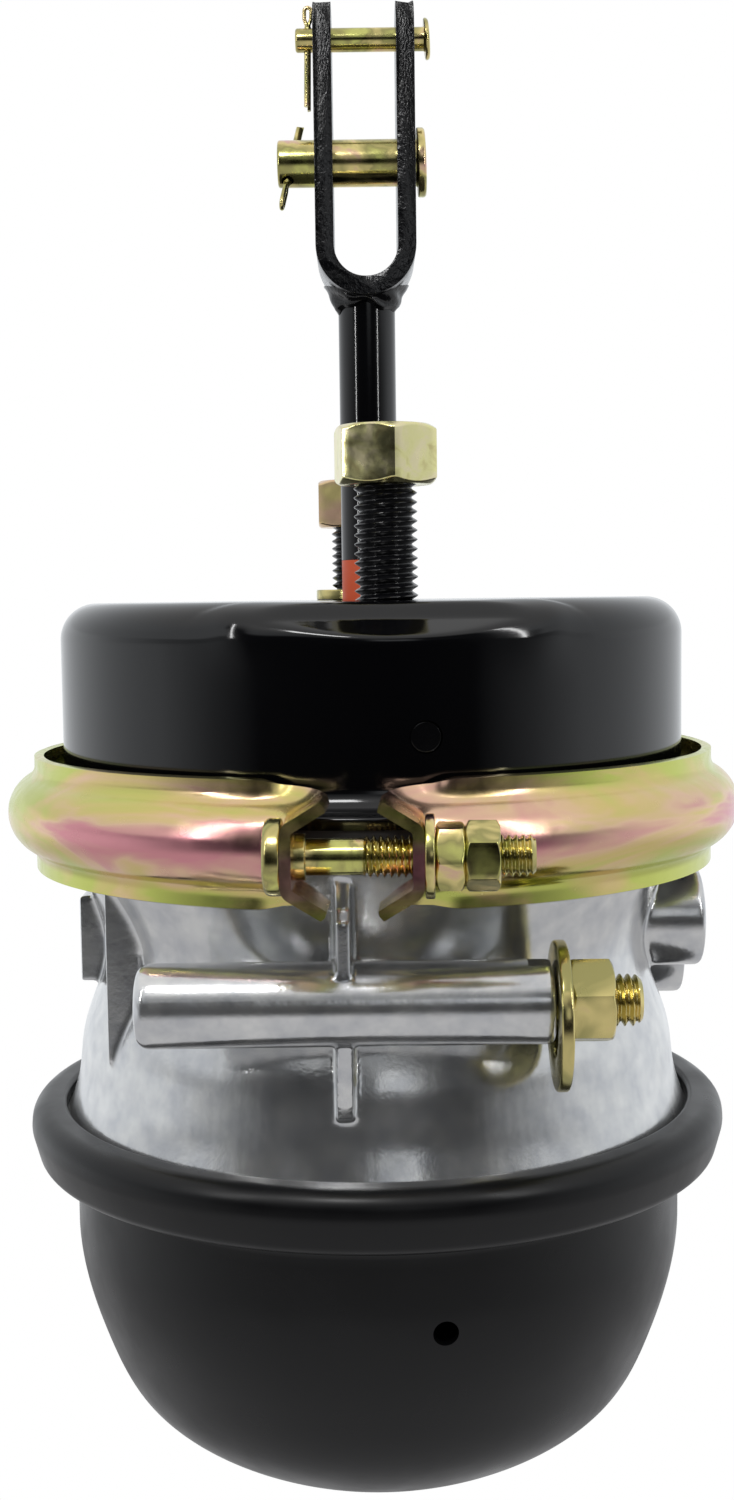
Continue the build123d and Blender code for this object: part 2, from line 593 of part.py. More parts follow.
def push_plate():
    """Dished steel plate welded to the foot of the rod."""
    rim = PLATE_THICKNESS
    body = turned([(0, PLATE_BOTTOM), (PLATE_RADIUS, PLATE_BOTTOM, PLATE_RIM_RADIUS),
                   (PLATE_RADIUS + 0.01, PLATE_TOP), (PLATE_RADIUS - rim, PLATE_TOP),
                   (0, PLATE_TOP)])
    weld = turned([(ROD_RADIUS + SEAT_GAP, PLATE_TOP), (ROD_RADIUS + 4, PLATE_TOP),
                   (ROD_RADIUS + SEAT_GAP, PLATE_TOP + 3)])
    return body + weld


def clevis():
    """Bent strap fork on its weld, drilled for the clevis and adjuster pins."""
    outer = CLEVIS_HALF_WIDTH
    inner = CLEVIS_HALF_WIDTH - CLEVIS_EAR
    floor = CLEVIS_ROOT + CLEVIS_EAR
    bend = CLEVIS_OUTER_BEND
    side = profile([(-outer, CLEVIS_ROOT, bend), (outer, CLEVIS_ROOT, bend),
                    (outer, CLEVIS_TOP), (inner, CLEVIS_TOP), (inner, floor, bend - CLEVIS_EAR),
                    (-inner, floor, bend - CLEVIS_EAR), (-inner, CLEVIS_TOP), (-outer, CLEVIS_TOP)])
    body = extrude(side, CLEVIS_DEPTH / 2, both=True)
    half = CLEVIS_DEPTH / 2
    crown = profile([(-half, CLEVIS_ROOT - 1), (half, CLEVIS_ROOT - 1),
                     (half, CLEVIS_TOP, half - 0.5), (-half, CLEVIS_TOP, half - 0.5)], Plane.YZ)
    body = body & extrude(crown, 2 * outer, both=True)
    bottom = CLEVIS_ROOT - CLEVIS_WELD_LENGTH
    weld = turned([(0, bottom), (ROD_RADIUS + 1.2, bottom, 0.8), (CLEVIS_WELD_RADIUS, CLEVIS_ROOT - 4, 2),
                   (CLEVIS_WELD_RADIUS, CLEVIS_ROOT + 4), (0, CLEVIS_ROOT + 4)])
    body += weld & disc(2 * outer, bottom, floor - 0.5)
    body -= disc(ROD_RADIUS + SEAT_GAP, bottom - 1, ROD_TOP + SEAT_GAP)
    for radius, height in ((CLEVIS_PIN_RADIUS, CLEVIS_PIN_HEIGHT),
                           (ADJUSTER_PIN_RADIUS, ADJUSTER_PIN_HEIGHT)):
        body -= along_x(radius + RUN_CLEARANCE, -2 * outer, 2 * outer, 0, height)
    return body


def headed_pin(radius, tail, head_radius, head_thickness, head_gap, height, cotter_radius, place):
    """Pin along X with its head at +X and a cross hole near its tail, at place."""
    head_x = CLEVIS_HALF_WIDTH + head_gap
    head = along_x(head_radius, head_x, head_x + head_thickness, 0, height)
    head = chamfer(head.edges().group_by(Axis.X)[-1], head_thickness * 0.3)
    shank = along_x(radius, -tail, head_x + head_thickness / 2, 0, height)
    shank = chamfer(shank.edges().group_by(Axis.X)[0], radius * 0.12)
    return head + shank - place * disc(cotter_radius + RUN_CLEARANCE, -2 * radius, 2 * radius)


def clevis_cotter_place():
    """Location on the clevis pin, its Z along the cotter and towards the cotter's eye."""
    return (Pos(-CLEVIS_PIN_TAIL + CLEVIS_COTTER_INSET, 0, CLEVIS_PIN_HEIGHT)
            * Rot(-CLEVIS_COTTER_LEAN, 0, 0) * Rot(0, CLEVIS_COTTER_TILT + 180, 0))


def adjuster_cotter_place():
    return (Pos(-ADJUSTER_PIN_TAIL + ADJUSTER_COTTER_INSET, 0, ADJUSTER_PIN_HEIGHT)
            * Rot(0, ADJUSTER_COTTER_TILT, 0))


def clevis_pin():
    return headed_pin(CLEVIS_PIN_RADIUS, CLEVIS_PIN_TAIL, CLEVIS_PIN_HEAD_RADIUS,
                      CLEVIS_PIN_HEAD_THICKNESS, CLEVIS_PIN_HEAD_GAP, CLEVIS_PIN_HEIGHT,
                      CLEVIS_COTTER_RADIUS, clevis_cotter_place())


def adjuster_pin():
    return headed_pin(ADJUSTER_PIN_RADIUS, ADJUSTER_PIN_TAIL, ADJUSTER_PIN_HEAD_RADIUS,
                      ADJUSTER_PIN_HEAD_THICKNESS, ADJUSTER_PIN_HEAD_GAP, ADJUSTER_PIN_HEIGHT,
                      ADJUSTER_COTTER_RADIUS, adjuster_cotter_place())


def clevis_pin_cotter():
    return clevis_cotter_place() * Rot(0, 0, 90) * cotter(
        CLEVIS_COTTER_RADIUS, CLEVIS_COTTER_HEAD, CLEVIS_COTTER_EYE, CLEVIS_COTTER_LEG)


def adjuster_pin_cotter():
    return adjuster_cotter_place() * cotter(
        ADJUSTER_COTTER_RADIUS, ADJUSTER_COTTER_HEAD, ADJUSTER_COTTER_EYE, ADJUSTER_COTTER_LEG)


# ---- service diaphragm and return spring --------------------------------------------------
def service_diaphragm():
    """Rubber cup held by its bead between the flanges, rolled up under the push plate."""
    wall = SERVICE_WALL_RADIUS
    inner = wall - RUBBER_THICKNESS
    top = SERVICE_RUBBER_TOP
    crown = SERVICE_CROWN_RADIUS
    return turned([
        (0, top), (wall, top, crown), (wall, BEAD_TOP),
        (FLANGE_RADIUS - 0.4, BEAD_TOP), (FLANGE_RADIUS - 0.4, BEAD_BOTTOM), (inner, BEAD_BOTTOM, 2),
        (inner, top - RUBBER_THICKNESS, crown - RUBBER_THICKNESS), (0, top - RUBBER_THICKNESS)])


def service_return_spring():
    """Flattened conical spring between the push plate and the housing."""
    return coil(RETURN_OUTER_RADIUS, RETURN_INNER_RADIUS, RETURN_WIRE_RADIUS, RETURN_COILS,
                PLATE_TOP + SEAT_GAP, -HOUSING_WALL - SEAT_GAP)


# ---- adapter casting ----------------------------------------------------------------------
def adapter_form():
    """Filled waisted form of the casting between its two flanges."""
    side = [(ADAPTER_NECK_RADIUS, ADAPTER_NECK_Z), (ADAPTER_WAIST_RADIUS, ADAPTER_WAIST_Z),
            (ADAPTER_BELLY_RADIUS, ADAPTER_BELLY_Z), (ADAPTER_SKIRT_RADIUS, ADAPTER_SKIRT_Z)]
    top = (FLANGE_RADIUS - 4, ADAPTER_FLANGE_BOTTOM)
    foot = (ADAPTER_FOOT_RADIUS, ADAPTER_BOTTOM)
    outline = Spline(top, *side, foot)
    outline += Polyline(foot, (0, ADAPTER_BOTTOM), (0, ADAPTER_TOP), (top[0], ADAPTER_TOP), top)
    return revolve(make_face(Plane.XZ * outline), Axis.Z)


def upper_bowl():
    """Space under the service diaphragm."""
    mouth = ADAPTER_MOUTH_RADIUS
    return turned([(0, ADAPTER_TOP + 1), (mouth, ADAPTER_TOP + 1), (mouth, ADAPTER_TOP - 4, 2),
                   (ADAPTER_WAIST_RADIUS - ADAPTER_WALL + 2, WEB_TOP, 8), (0, WEB_TOP)])


def lower_bowl():
    """Space above the spring diaphragm."""
    waist = ADAPTER_WAIST_RADIUS - ADAPTER_WALL
    belly = ADAPTER_BELLY_RADIUS - ADAPTER_WALL
    mouth = ADAPTER_FOOT_RADIUS - ADAPTER_WALL
    return turned([(0, WEB_BOTTOM), (waist, WEB_BOTTOM, 6), (belly, ADAPTER_BELLY_Z),
                   (mouth, ADAPTER_BOTTOM + 2), (mouth, ADAPTER_BOTTOM - 1), (0, ADAPTER_BOTTOM - 1)])


def storage_tube():
    """Blind tube for the release bolt, with its plate web back to the wall."""
    tube = along_x(TUBE_RADIUS, TUBE_CLOSED_X, TUBE_OPEN_X, TUBE_Y, TUBE_Z)
    tube = fillet(tube.edges().group_by(Axis.X)[0], 3)
    web = box_between((TUBE_CLOSED_X + 4, TUBE_Y, TUBE_Z - TUBE_WEB_THICKNESS / 2),
                      (TUBE_OPEN_X - 2, TUBE_Y + TUBE_WEB_DEPTH, TUBE_Z + TUBE_WEB_THICKNESS / 2))
    return tube + web


def wall_rib():
    """Vertical rib above and below the tube, narrowing towards its front edge."""
    band_edge = JOINT_HEIGHT - BAND_LIP_REACH - 0.7
    back = RIB_TOP_Y + RIB_DEPTH
    outline = [(back, ADAPTER_FLANGE_BOTTOM), (RIB_TOP_Y + 3.3, ADAPTER_FLANGE_BOTTOM),
               (RIB_TOP_Y + 2.8, band_edge), (RIB_TOP_Y, band_edge - 2.3),
               (RIB_TOP_Y, TUBE_Z + 6), (TUBE_Y, TUBE_Z), (RIB_MIDDLE_Y, TUBE_Z - 9.4),
               (TUBE_Y, RIB_BOTTOM, 3), (back, RIB_BOTTOM)]
    face = profile(outline, Plane.YZ)
    side = extrude(face, RIB_ROOT_WIDTH, both=True)
    root, edge = RIB_ROOT_WIDTH / 2, RIB_EDGE_WIDTH / 2
    plan = profile([(-root, back), (root, back), (edge, RIB_TOP_Y), (-edge, RIB_TOP_Y)], Plane.XY)
    wedge = Pos(0, 0, RIB_BOTTOM) * extrude(plan, ADAPTER_TOP - RIB_BOTTOM)
    return Pos(RIB_X, 0, 0) * (side & wedge)


def wall_gusset():
    """Upright gusset on the waist at the left of the tube."""
    plate = box_between((-FLANGE_RADIUS, GUSSET_FRONT_Y, GUSSET_BOTTOM),
                        (0, GUSSET_FRONT_Y + GUSSET_THICKNESS, GUSSET_TOP))
    return plate & disc(ADAPTER_WAIST_RADIUS + GUSSET_PROUD, GUSSET_BOTTOM, GUSSET_TOP)


def port_boss(x, y, z, root_x):
    return along_x(PORT_BOSS_RADIUS, root_x, x, y, z)


def adapter_casting():
    """Waisted casting between the service and spring chambers."""
    inner_x = 56.0
    body = adapter_form()
    body += wall_gusset()
    body += storage_tube()
    body += wall_rib()
    body += port_boss(SERVICE_PORT_X, SERVICE_PORT_Y, SERVICE_PORT_Z, inner_x)
    body += port_boss(SPRING_PORT_X, SPRING_PORT_Y, SPRING_PORT_Z, inner_x)
    body += box_between((BLANK_BOSS_X, -BLANK_BOSS_HALF_WIDTH, BLANK_BOSS_BOTTOM),
                        (0, BLANK_BOSS_HALF_WIDTH, BLANK_BOSS_TOP))
    body -= upper_bowl()
    body -= lower_bowl()
    body += disc(HUB_RADIUS, HUB_BOTTOM, WEB_TOP)
    service_boss = port_boss(ADAPTER_WAIST_RADIUS, SERVICE_PORT_Y, SERVICE_PORT_Z, inner_x)
    body += service_boss & disc(ADAPTER_WAIST_RADIUS, HUB_BOTTOM, WEB_TOP)
    body += disc(FLANGE_RADIUS, ADAPTER_FLANGE_BOTTOM, ADAPTER_TOP) - disc(
        ADAPTER_MOUTH_RADIUS, ADAPTER_FLANGE_BOTTOM - 1, ADAPTER_TOP + 1)
    body += turned([(ADAPTER_FOOT_RADIUS - ADAPTER_WALL, ADAPTER_FOOT_TOP),
                    (CRIMP_INNER_RADIUS - LOOSE_GAP, ADAPTER_FOOT_TOP),
                    (CRIMP_INNER_RADIUS - LOOSE_GAP, ADAPTER_BOTTOM),
                    (ADAPTER_FOOT_RADIUS - ADAPTER_WALL, ADAPTER_BOTTOM)])
    body -= disc(HUB_BORE_RADIUS, HUB_BOTTOM - 1, WEB_TOP + 1)
    body -= along_x(TUBE_BORE_RADIUS, TUBE_CLOSED_X + TUBE_END_WALL, TUBE_OPEN_X + 1, TUBE_Y, TUBE_Z)
    slot_y = TUBE_SLOT_WIDTH / 2
    body -= box_between((TUBE_OPEN_X - TUBE_SLOT_LENGTH, TUBE_Y - slot_y, TUBE_Z),
                        (TUBE_OPEN_X + 1, TUBE_Y + slot_y, TUBE_Z + 2 * TUBE_RADIUS))
    body -= along_x(PORT_BORE_RADIUS, SERVICE_PORT_X - PORT_BORE_DEPTH, SERVICE_PORT_X + 1,
                    SERVICE_PORT_Y, SERVICE_PORT_Z)
    body -= along_x(PORT_PASSAGE_RADIUS, inner_x + 8, SERVICE_PORT_X, SERVICE_PORT_Y, SERVICE_PORT_Z)
    body -= (Pos(inner_x + 8 + PORT_PASSAGE_RADIUS, SERVICE_PORT_Y, 0)
             * disc(PORT_PASSAGE_RADIUS, SERVICE_PORT_Z, WEB_TOP + 1))
    body -= along_x(PORT_BORE_RADIUS, SPRING_PORT_X - PORT_BORE_DEPTH, SPRING_PORT_X + 1,
                    SPRING_PORT_Y, SPRING_PORT_Z)
    body -= along_x(PORT_PASSAGE_RADIUS, inner_x - 8, SPRING_PORT_X, SPRING_PORT_Y, SPRING_PORT_Z)
    return body


def stem_bushing():
    """Flanged bearing sleeve pressed up into the hub from below."""
    bore = STEM_RADIUS + RUN_CLEARANCE
    sleeve = disc(bore + BUSHING_WALL, HUB_BOTTOM - SEAT_GAP, WEB_TOP - 1)
    flange = disc(HUB_RADIUS - 2, HUB_BOTTOM - SEAT_GAP - BUSHING_FLANGE, HUB_BOTTOM - SEAT_GAP)
    body = sleeve + flange - disc(bore, HUB_BOTTOM - 2 * BUSHING_FLANGE, WEB_TOP)
    for z in (WEB_TOP - O_RING_INSET, HUB_BOTTOM + O_RING_INSET):
        body -= disc(bore + 2 * O_RING_RADIUS - 1, z - O_RING_RADIUS, z + O_RING_RADIUS)
    return body


def stem_o_rings():
    """Two O-rings squashed between the sleeve's grooves and the stem."""
    bore = STEM_RADIUS + RUN_CLEARANCE / 2
    depth = 2 * O_RING_RADIUS - 1 - RUN_CLEARANCE
    half = O_RING_RADIUS - SEAT_GAP
    rings = []
    for z in (WEB_TOP - O_RING_INSET, HUB_BOTTOM + O_RING_INSET):
        section = [(bore, z - half, 0.9), (bore + depth, z - half, 0.9),
                   (bore + depth, z + half, 0.9), (bore, z + half, 0.9)]
        rings.append(turned(section))
    return Compound(children=rings)


# ---- spring piston ------------------------------------------------------------------------
def centre_stem():
    """Hollow stem with a head under the service diaphragm and a spread base."""
    inner = STEM_RADIUS - STEM_WALL
    return turned([
        (0, STEM_TOP), (STEM_HEAD_RADIUS, STEM_TOP, 1), (STEM_HEAD_RADIUS, STEM_TOP - STEM_HEAD_THICKNESS),
        (STEM_RADIUS, STEM_TOP - STEM_HEAD_THICKNESS), (STEM_RADIUS, STEM_BOTTOM + STEM_BASE_THICKNESS),
        (STEM_BASE_RADIUS, STEM_BOTTOM + STEM_BASE_THICKNESS), (STEM_BASE_RADIUS, STEM_BOTTOM),
        (inner, STEM_BOTTOM), (inner, STEM_TOP - STEM_HEAD_THICKNESS), (0, STEM_TOP - STEM_HEAD_THICKNESS)])


def spring_diaphragm():
    """Rubber cup held by its bead in the crimp, rolled up over the pressure plate."""
    wall = SPRING_DIAPHRAGM_WALL_RADIUS
    inner = wall - RUBBER_THICKNESS
    outer = CRIMP_INNER_RADIUS - LOOSE_GAP
    top = PISTON_TOP
    under = PISTON_RUBBER_BOTTOM
    return turned([
        (0, top), (wall - 4, top, 4), (wall + 1, SPRING_BEAD_TOP, 1), (outer, SPRING_BEAD_TOP),
        (outer, SPRING_BEAD_BOTTOM), (inner + 3, SPRING_BEAD_BOTTOM, 1), (inner - 2, under, 2),
        (0, under)])


def pressure_plate():
    """Cast plate between the power spring and the spring diaphragm."""
    skirt = PRESSURE_PLATE_BOTTOM - PRESSURE_PLATE_SKIRT
    ring = SPRING_HEAD_RADIUS + SPRING_WIRE_RADIUS + 1
    body = turned([
        (0, PRESSURE_PLATE_TOP), (PRESSURE_PLATE_RADIUS, PRESSURE_PLATE_TOP, 3),
        (PRESSURE_PLATE_RADIUS, skirt), (ring, skirt), (ring, PRESSURE_PLATE_BOTTOM),
        (0, PRESSURE_PLATE_BOTTOM)])
    return body - disc(RELEASE_HOLE_RADIUS, skirt, PRESSURE_PLATE_TOP + 1)


def stem_return_spring():
    """Light spring that pushes the stem back when the spring chamber is charged."""
    return coil(STEM_SPRING_RADIUS, STEM_SPRING_RADIUS, STEM_SPRING_WIRE_RADIUS, STEM_SPRING_COILS,
                STEM_BOTTOM + STEM_BASE_THICKNESS + SEAT_GAP,
                WEB_BOTTOM - SEAT_GAP)


def power_spring():
    """Heavy parking-brake spring between the dome and the pressure plate."""
    return coil(SPRING_FOOT_RADIUS, SPRING_HEAD_RADIUS, SPRING_WIRE_RADIUS, SPRING_COILS,
                DOME_FLOOR + SPRING_FOOT_RISE, PRESSURE_PLATE_BOTTOM - SEAT_GAP)


# ---- spring housing -----------------------------------------------------------------------
def dome_form(inset):
    """Filled form of the dome, inset from its outer surface."""
    side = [(DOME_RADIUS, DOME_STRAIGHT_Z), (DOME_SHOULDER_RADIUS, DOME_SHOULDER_Z),
            (DOME_FLANK_RADIUS, DOME_FLANK_Z), (DOME_HEEL_RADIUS, DOME_HEEL_Z), (0, DOME_BOTTOM)]
    middle = []
    for before, (radius, z), after in zip(side, side[1:], side[2:]):
        run = Vector(*after) - Vector(*before)
        inward = Vector(run.Y, -run.X).normalized() * inset
        middle.append((radius + inward.X, z + inward.Y))
    top = (DOME_RADIUS - inset, CRIMP_BOTTOM)
    shoulder = (top[0], DOME_STRAIGHT_Z)
    foot = (0, DOME_BOTTOM + inset)
    outline = Polyline(foot, (0, CRIMP_BOTTOM), top, shoulder)
    outline += Spline(shoulder, *middle, foot, tangents=((0, -1), (-1, 0)))
    return revolve(make_face(Plane.XZ * outline), Axis.Z)


def spring_housing():
    """Dome with its rim rolled round the adapter's foot and the diaphragm bead."""
    crimp = turned([
        (CRIMP_LIP_RADIUS, CRIMP_LIP_TOP, 1.2), (CRIMP_RADIUS - 0.6, CRIMP_LIP_TOP, 5.2),
        (CRIMP_RADIUS, CRIMP_BULGE_Z, 6), (CRIMP_HEEL_RADIUS + 1.2, CRIMP_BOTTOM, 4),
        (DOME_RADIUS - DOME_WALL - 1, CRIMP_BOTTOM - 2), (DOME_RADIUS - DOME_WALL - 1, CRIMP_LEDGE),
        (CRIMP_INNER_RADIUS, CRIMP_LEDGE), (CRIMP_INNER_RADIUS, CRIMP_LIP_BOTTOM, 0),
        (CRIMP_LIP_RADIUS, CRIMP_LIP_BOTTOM)])
    body = dome_form(0) + crimp
    body -= dome_form(DOME_WALL)
    body -= disc(DOME_RADIUS - DOME_WALL, CRIMP_BOTTOM - 0.5, CRIMP_LEDGE + 1)
    body -= disc(RELEASE_HOLE_RADIUS, DOME_BOTTOM - 1, DOME_FLOOR + 1)
    body -= (Pos(DOME_VENT_X, 0, DOME_VENT_Z) * Rot(90, 0, 0)
             * extrude(Circle(DOME_VENT_RADIUS), DOME_RADIUS + 10))
    return body


def release_hole_plug():
    """Rubber dust plug in the release hole at the foot of the dome."""
    stem = disc(RELEASE_HOLE_RADIUS - RUN_CLEARANCE, DOME_BOTTOM - SEAT_GAP, DOME_FLOOR + 0.6)
    cap = disc(RELEASE_PLUG_RADIUS, DOME_BOTTOM - SEAT_GAP - RELEASE_PLUG_THICKNESS,
               DOME_BOTTOM - SEAT_GAP)
    cap = fillet(cap.edges().group_by(Axis.Z)[0], 1.2)
    return stem + cap


# ---- release bolt -------------------------------------------------------------------------
def release_bolt():
    """Bolt with a cross lug at its inner end, stowed in the side tube."""
    nut_x = TUBE_OPEN_X + RELEASE_WASHER_THICKNESS + 2 * SEAT_GAP
    inner_x = TUBE_CLOSED_X + TUBE_END_WALL + 3
    shank = along_x(RELEASE_RADIUS, inner_x, nut_x, TUBE_Y, TUBE_Z)
    core = along_x(RELEASE_CORE_RADIUS, nut_x - 1, RELEASE_END_X, TUBE_Y, TUBE_Z)
    end = along_x(RELEASE_RADIUS, nut_x + RELEASE_NUT_THICKNESS + SEAT_GAP, RELEASE_END_X, TUBE_Y,
                  TUBE_Z)
    end = chamfer(end.edges().group_by(Axis.X)[-1], 1.0)
    lug = box_between((inner_x, TUBE_Y - RELEASE_LUG_HEIGHT / 2, TUBE_Z - RELEASE_LUG_WIDTH / 2),
                      (inner_x + RELEASE_LUG_LENGTH, TUBE_Y + RELEASE_LUG_HEIGHT / 2,
                       TUBE_Z + RELEASE_LUG_WIDTH / 2))
    lug &= along_x(TUBE_BORE_RADIUS - LOOSE_GAP, inner_x, inner_x + RELEASE_LUG_LENGTH, TUBE_Y, TUBE_Z)
    return shank + core + end + lug


def release_washer():
    """Wide washer hanging on the release bolt against the end of the tube."""
    drop = RELEASE_WASHER_BORE - RELEASE_RADIUS - SEAT_GAP
    piece = Rot(0, 90, 0) * washer(RELEASE_WASHER_RADIUS, RELEASE_WASHER_BORE,
                                   RELEASE_WASHER_THICKNESS)
    return Pos(TUBE_OPEN_X + SEAT_GAP, TUBE_Y, TUBE_Z - drop) * piece


def release_nut():
    nut = hex_nut(RELEASE_NUT_FLATS, RELEASE_NUT_THICKNESS, RELEASE_CORE_RADIUS + RUN_CLEARANCE, 1.2)
    x = TUBE_OPEN_X + RELEASE_WASHER_THICKNESS + 2 * SEAT_GAP
    return Pos(x, TUBE_Y, TUBE_Z) * Rot(0, 90, 0) * nut


# ---- write one STEP per node --------------------------------------------------------------
NODES = [
    non_pressure_housing, housing_vent_plug, mounting_studs, mounting_nuts, stud_washer,
    rod_dust_guard, clamp_half_left, clamp_half_right, clamp_bolts, clamp_washers, clamp_nuts,
    clamp_jam_nuts, push_rod, stroke_mark, push_plate, clevis, clevis_pin, clevis_pin_cotter,
    adjuster_pin, adjuster_pin_cotter, service_diaphragm, service_return_spring,
    adapter_casting, stem_bushing, stem_o_rings, centre_stem, spring_diaphragm, pressure_plate,
    stem_return_spring, power_spring, spring_housing, release_hole_plug, release_bolt,
    release_washer, release_nut]

os.makedirs("parts", exist_ok=True)
for make_node in NODES:
    export_step(make_node(), "parts/" + make_node.__name__ + ".step")
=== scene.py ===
"""Air brake chamber, type 30/30: looks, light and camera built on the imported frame.

Lengths are written in millimetres and turned into metres by MM. +Z runs out of the chamber
along the push rod, and -Y is the side that faces the camera. Angles are in degrees.
"""
import json
from math import atan2, cos, degrees, hypot, pi, radians, sin, sqrt, tan

import bmesh
import bpy
import numpy as np
from mathutils import Matrix, Vector


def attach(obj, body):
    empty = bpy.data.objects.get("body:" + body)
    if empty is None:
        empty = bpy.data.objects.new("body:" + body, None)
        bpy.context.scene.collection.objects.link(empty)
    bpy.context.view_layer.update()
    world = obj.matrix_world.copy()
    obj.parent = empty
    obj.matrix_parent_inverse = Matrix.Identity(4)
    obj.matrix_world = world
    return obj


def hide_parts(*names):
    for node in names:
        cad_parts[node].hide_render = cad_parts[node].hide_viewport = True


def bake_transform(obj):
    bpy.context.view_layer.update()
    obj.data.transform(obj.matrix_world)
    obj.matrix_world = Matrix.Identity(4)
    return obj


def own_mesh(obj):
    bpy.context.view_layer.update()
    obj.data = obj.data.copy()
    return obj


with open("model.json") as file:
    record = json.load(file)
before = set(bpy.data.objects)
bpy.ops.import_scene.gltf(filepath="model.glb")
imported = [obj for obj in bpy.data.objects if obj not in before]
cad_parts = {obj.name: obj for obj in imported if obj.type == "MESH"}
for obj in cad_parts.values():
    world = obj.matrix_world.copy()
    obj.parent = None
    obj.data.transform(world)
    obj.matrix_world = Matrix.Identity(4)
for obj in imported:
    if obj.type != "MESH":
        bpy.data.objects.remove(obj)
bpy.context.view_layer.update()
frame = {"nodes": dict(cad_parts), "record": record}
MM = 0.001
INCH = 25.4
JOINT_Z = -57.1                 # middle of the clamped joint
scene = bpy.context.scene

# ---- camera ----
CAMERA_PLACE = (-1.55, -502.8, 1.0)
CAMERA_DOWN = 4.99              # below the horizontal
CAMERA_ROLL = -0.76
CAMERA_LENS = 42.24
SENSOR = 36.0


def add_camera():
    data = bpy.data.cameras.new("camera")
    data.lens = CAMERA_LENS
    data.sensor_width = SENSOR
    data.clip_start = 0.01
    camera = bpy.data.objects.new("camera", data)
    scene.collection.objects.link(camera)
    aim = Matrix.Rotation(radians(90 - CAMERA_DOWN), 4, "X")
    roll = Matrix.Rotation(radians(CAMERA_ROLL), 4, "Z")
    camera.matrix_world = Matrix.Translation(Vector(CAMERA_PLACE) * MM) @ aim @ roll
    scene.camera = camera


add_camera()


# ---- node trees ----
class Nodes:
    """Shorthand for building a node tree."""

    def __init__(self, tree):
        self.tree = tree

    def node(self, kind, **settings):
        made = self.tree.nodes.new(kind)
        for key, value in settings.items():
            setattr(made, key, value)
        return made

    def link(self, out, into):
        self.tree.links.new(out, into)

    def fill(self, sockets, values):
        """Each value, a number, a tuple or another node's output, into its socket."""
        for socket, value in zip(sockets, values):
            if isinstance(value, (int, float, tuple)):
                socket.default_value = value
            else:
                self.link(value, socket)

    def maths(self, operation, *values):
        made = self.node("ShaderNodeMath", operation=operation)
        self.fill(made.inputs, values)
        return made.outputs["Value"]

    def mixed(self, share, first, second):
        """Colour between first and second."""
        made = self.node("ShaderNodeMix", data_type="RGBA")
        self.fill((made.inputs[0], made.inputs[6], made.inputs[7]), (share, first, second))
        return made.outputs[2]

    def span(self, value, low, high, start, end):
        """value from start..end mapped to low..high, clamped."""
        made = self.node("ShaderNodeMapRange")
        names = ("Value", "From Min", "From Max", "To Min", "To Max")
        self.fill([made.inputs[name] for name in names], (value, start, end, low, high))
        return made.outputs["Result"]

    def ramp(self, value, stops):
        """Colour ramp over value from (position, colour) stops."""
        made = self.node("ShaderNodeValToRGB")
        elements = made.color_ramp.elements
        while len(elements) < len(stops):
            elements.new(0.5)
        for element, (position, colour) in zip(elements, stops):
            element.position = position
            element.color = (*colour, 1)
        self.link(value, made.inputs["Fac"])
        return made.outputs["Color"]


# ---- materials ----
NOISE_RANGE = (0.3, 0.7)        # where nearly all of a noise's values lie
BLACK = (0.0015, 0.0015, 0.002)
ROSE = (0.68, 0.29, 0.32)       # from here on, the colours that a zinc film takes
PINK = (0.72, 0.42, 0.38)
SALMON = (0.70, 0.38, 0.33)
PEACH = (0.76, 0.52, 0.34)
GOLD = (0.74, 0.62, 0.26)
BRASS = (0.68, 0.54, 0.22)
DULL_GOLD = (0.62, 0.55, 0.26)
PALE_GOLD = (0.80, 0.72, 0.44)
STRAW = (0.78, 0.74, 0.36)
LIME = (0.54, 0.58, 0.14)
GREEN = (0.60, 0.60, 0.19)
OLIVE = (0.36, 0.33, 0.13)


class Finish(Nodes):
    """A procedural material: a Principled shader with a few noise-driven inputs."""

    def __init__(self, name, colour, metallic, roughness):
        self.material = bpy.data.materials.new(name)
        self.material.use_nodes = True
        super().__init__(self.material.node_tree)
        self.shader = self.tree.nodes["Principled BSDF"]
        self.coordinates = self.node("ShaderNodeTexCoord")
        self.shader.inputs["Base Color"].default_value = (*colour, 1)
        self.shader.inputs["Metallic"].default_value = metallic
        self.shader.inputs["Roughness"].default_value = roughness
        self.last_bump = None

    def noise(self, size, detail=4.0, stretch=(1, 1, 1), distortion=0.0):
        """Noise with features of about size millimetres."""
        mapping = self.node("ShaderNodeMapping")
        mapping.inputs["Scale"].default_value = stretch
        texture = self.node("ShaderNodeTexNoise")
        texture.inputs["Scale"].default_value = 1 / (size * MM)
        texture.inputs["Detail"].default_value = detail
        texture.inputs["Distortion"].default_value = distortion
        self.link(self.coordinates.outputs["Object"], mapping.inputs["Vector"])
        self.link(mapping.outputs["Vector"], texture.inputs["Vector"])
        return texture.outputs["Fac"]

    def paint(self, colour_output):
        self.link(colour_output, self.shader.inputs["Base Color"])

    def roughen(self, noise, low, high):
        self.link(self.span(noise, low, high, *NOISE_RANGE), self.shader.inputs["Roughness"])

    def bump(self, height, depth):
        """Bump of about depth millimetres, stacked on any bump before it."""
        made = self.node("ShaderNodeBump")
        made.inputs["Distance"].default_value = depth * MM
        made.inputs["Strength"].default_value = 1.0
        self.link(height, made.inputs["Height"])
        if self.last_bump:
            self.link(self.last_bump, made.inputs["Normal"])
        self.link(made.outputs["Normal"], self.shader.inputs["Normal"])
        self.last_bump = made.outputs["Normal"]


def gloss_black():
    made = Finish("gloss_black", BLACK, 0.0, 0.1)
    made.roughen(made.noise(30), 0.06, 0.13)
    made.bump(made.noise(9, 2), 0.01)
    made.bump(made.noise(1.4, 2), 0.0025)
    return made.material


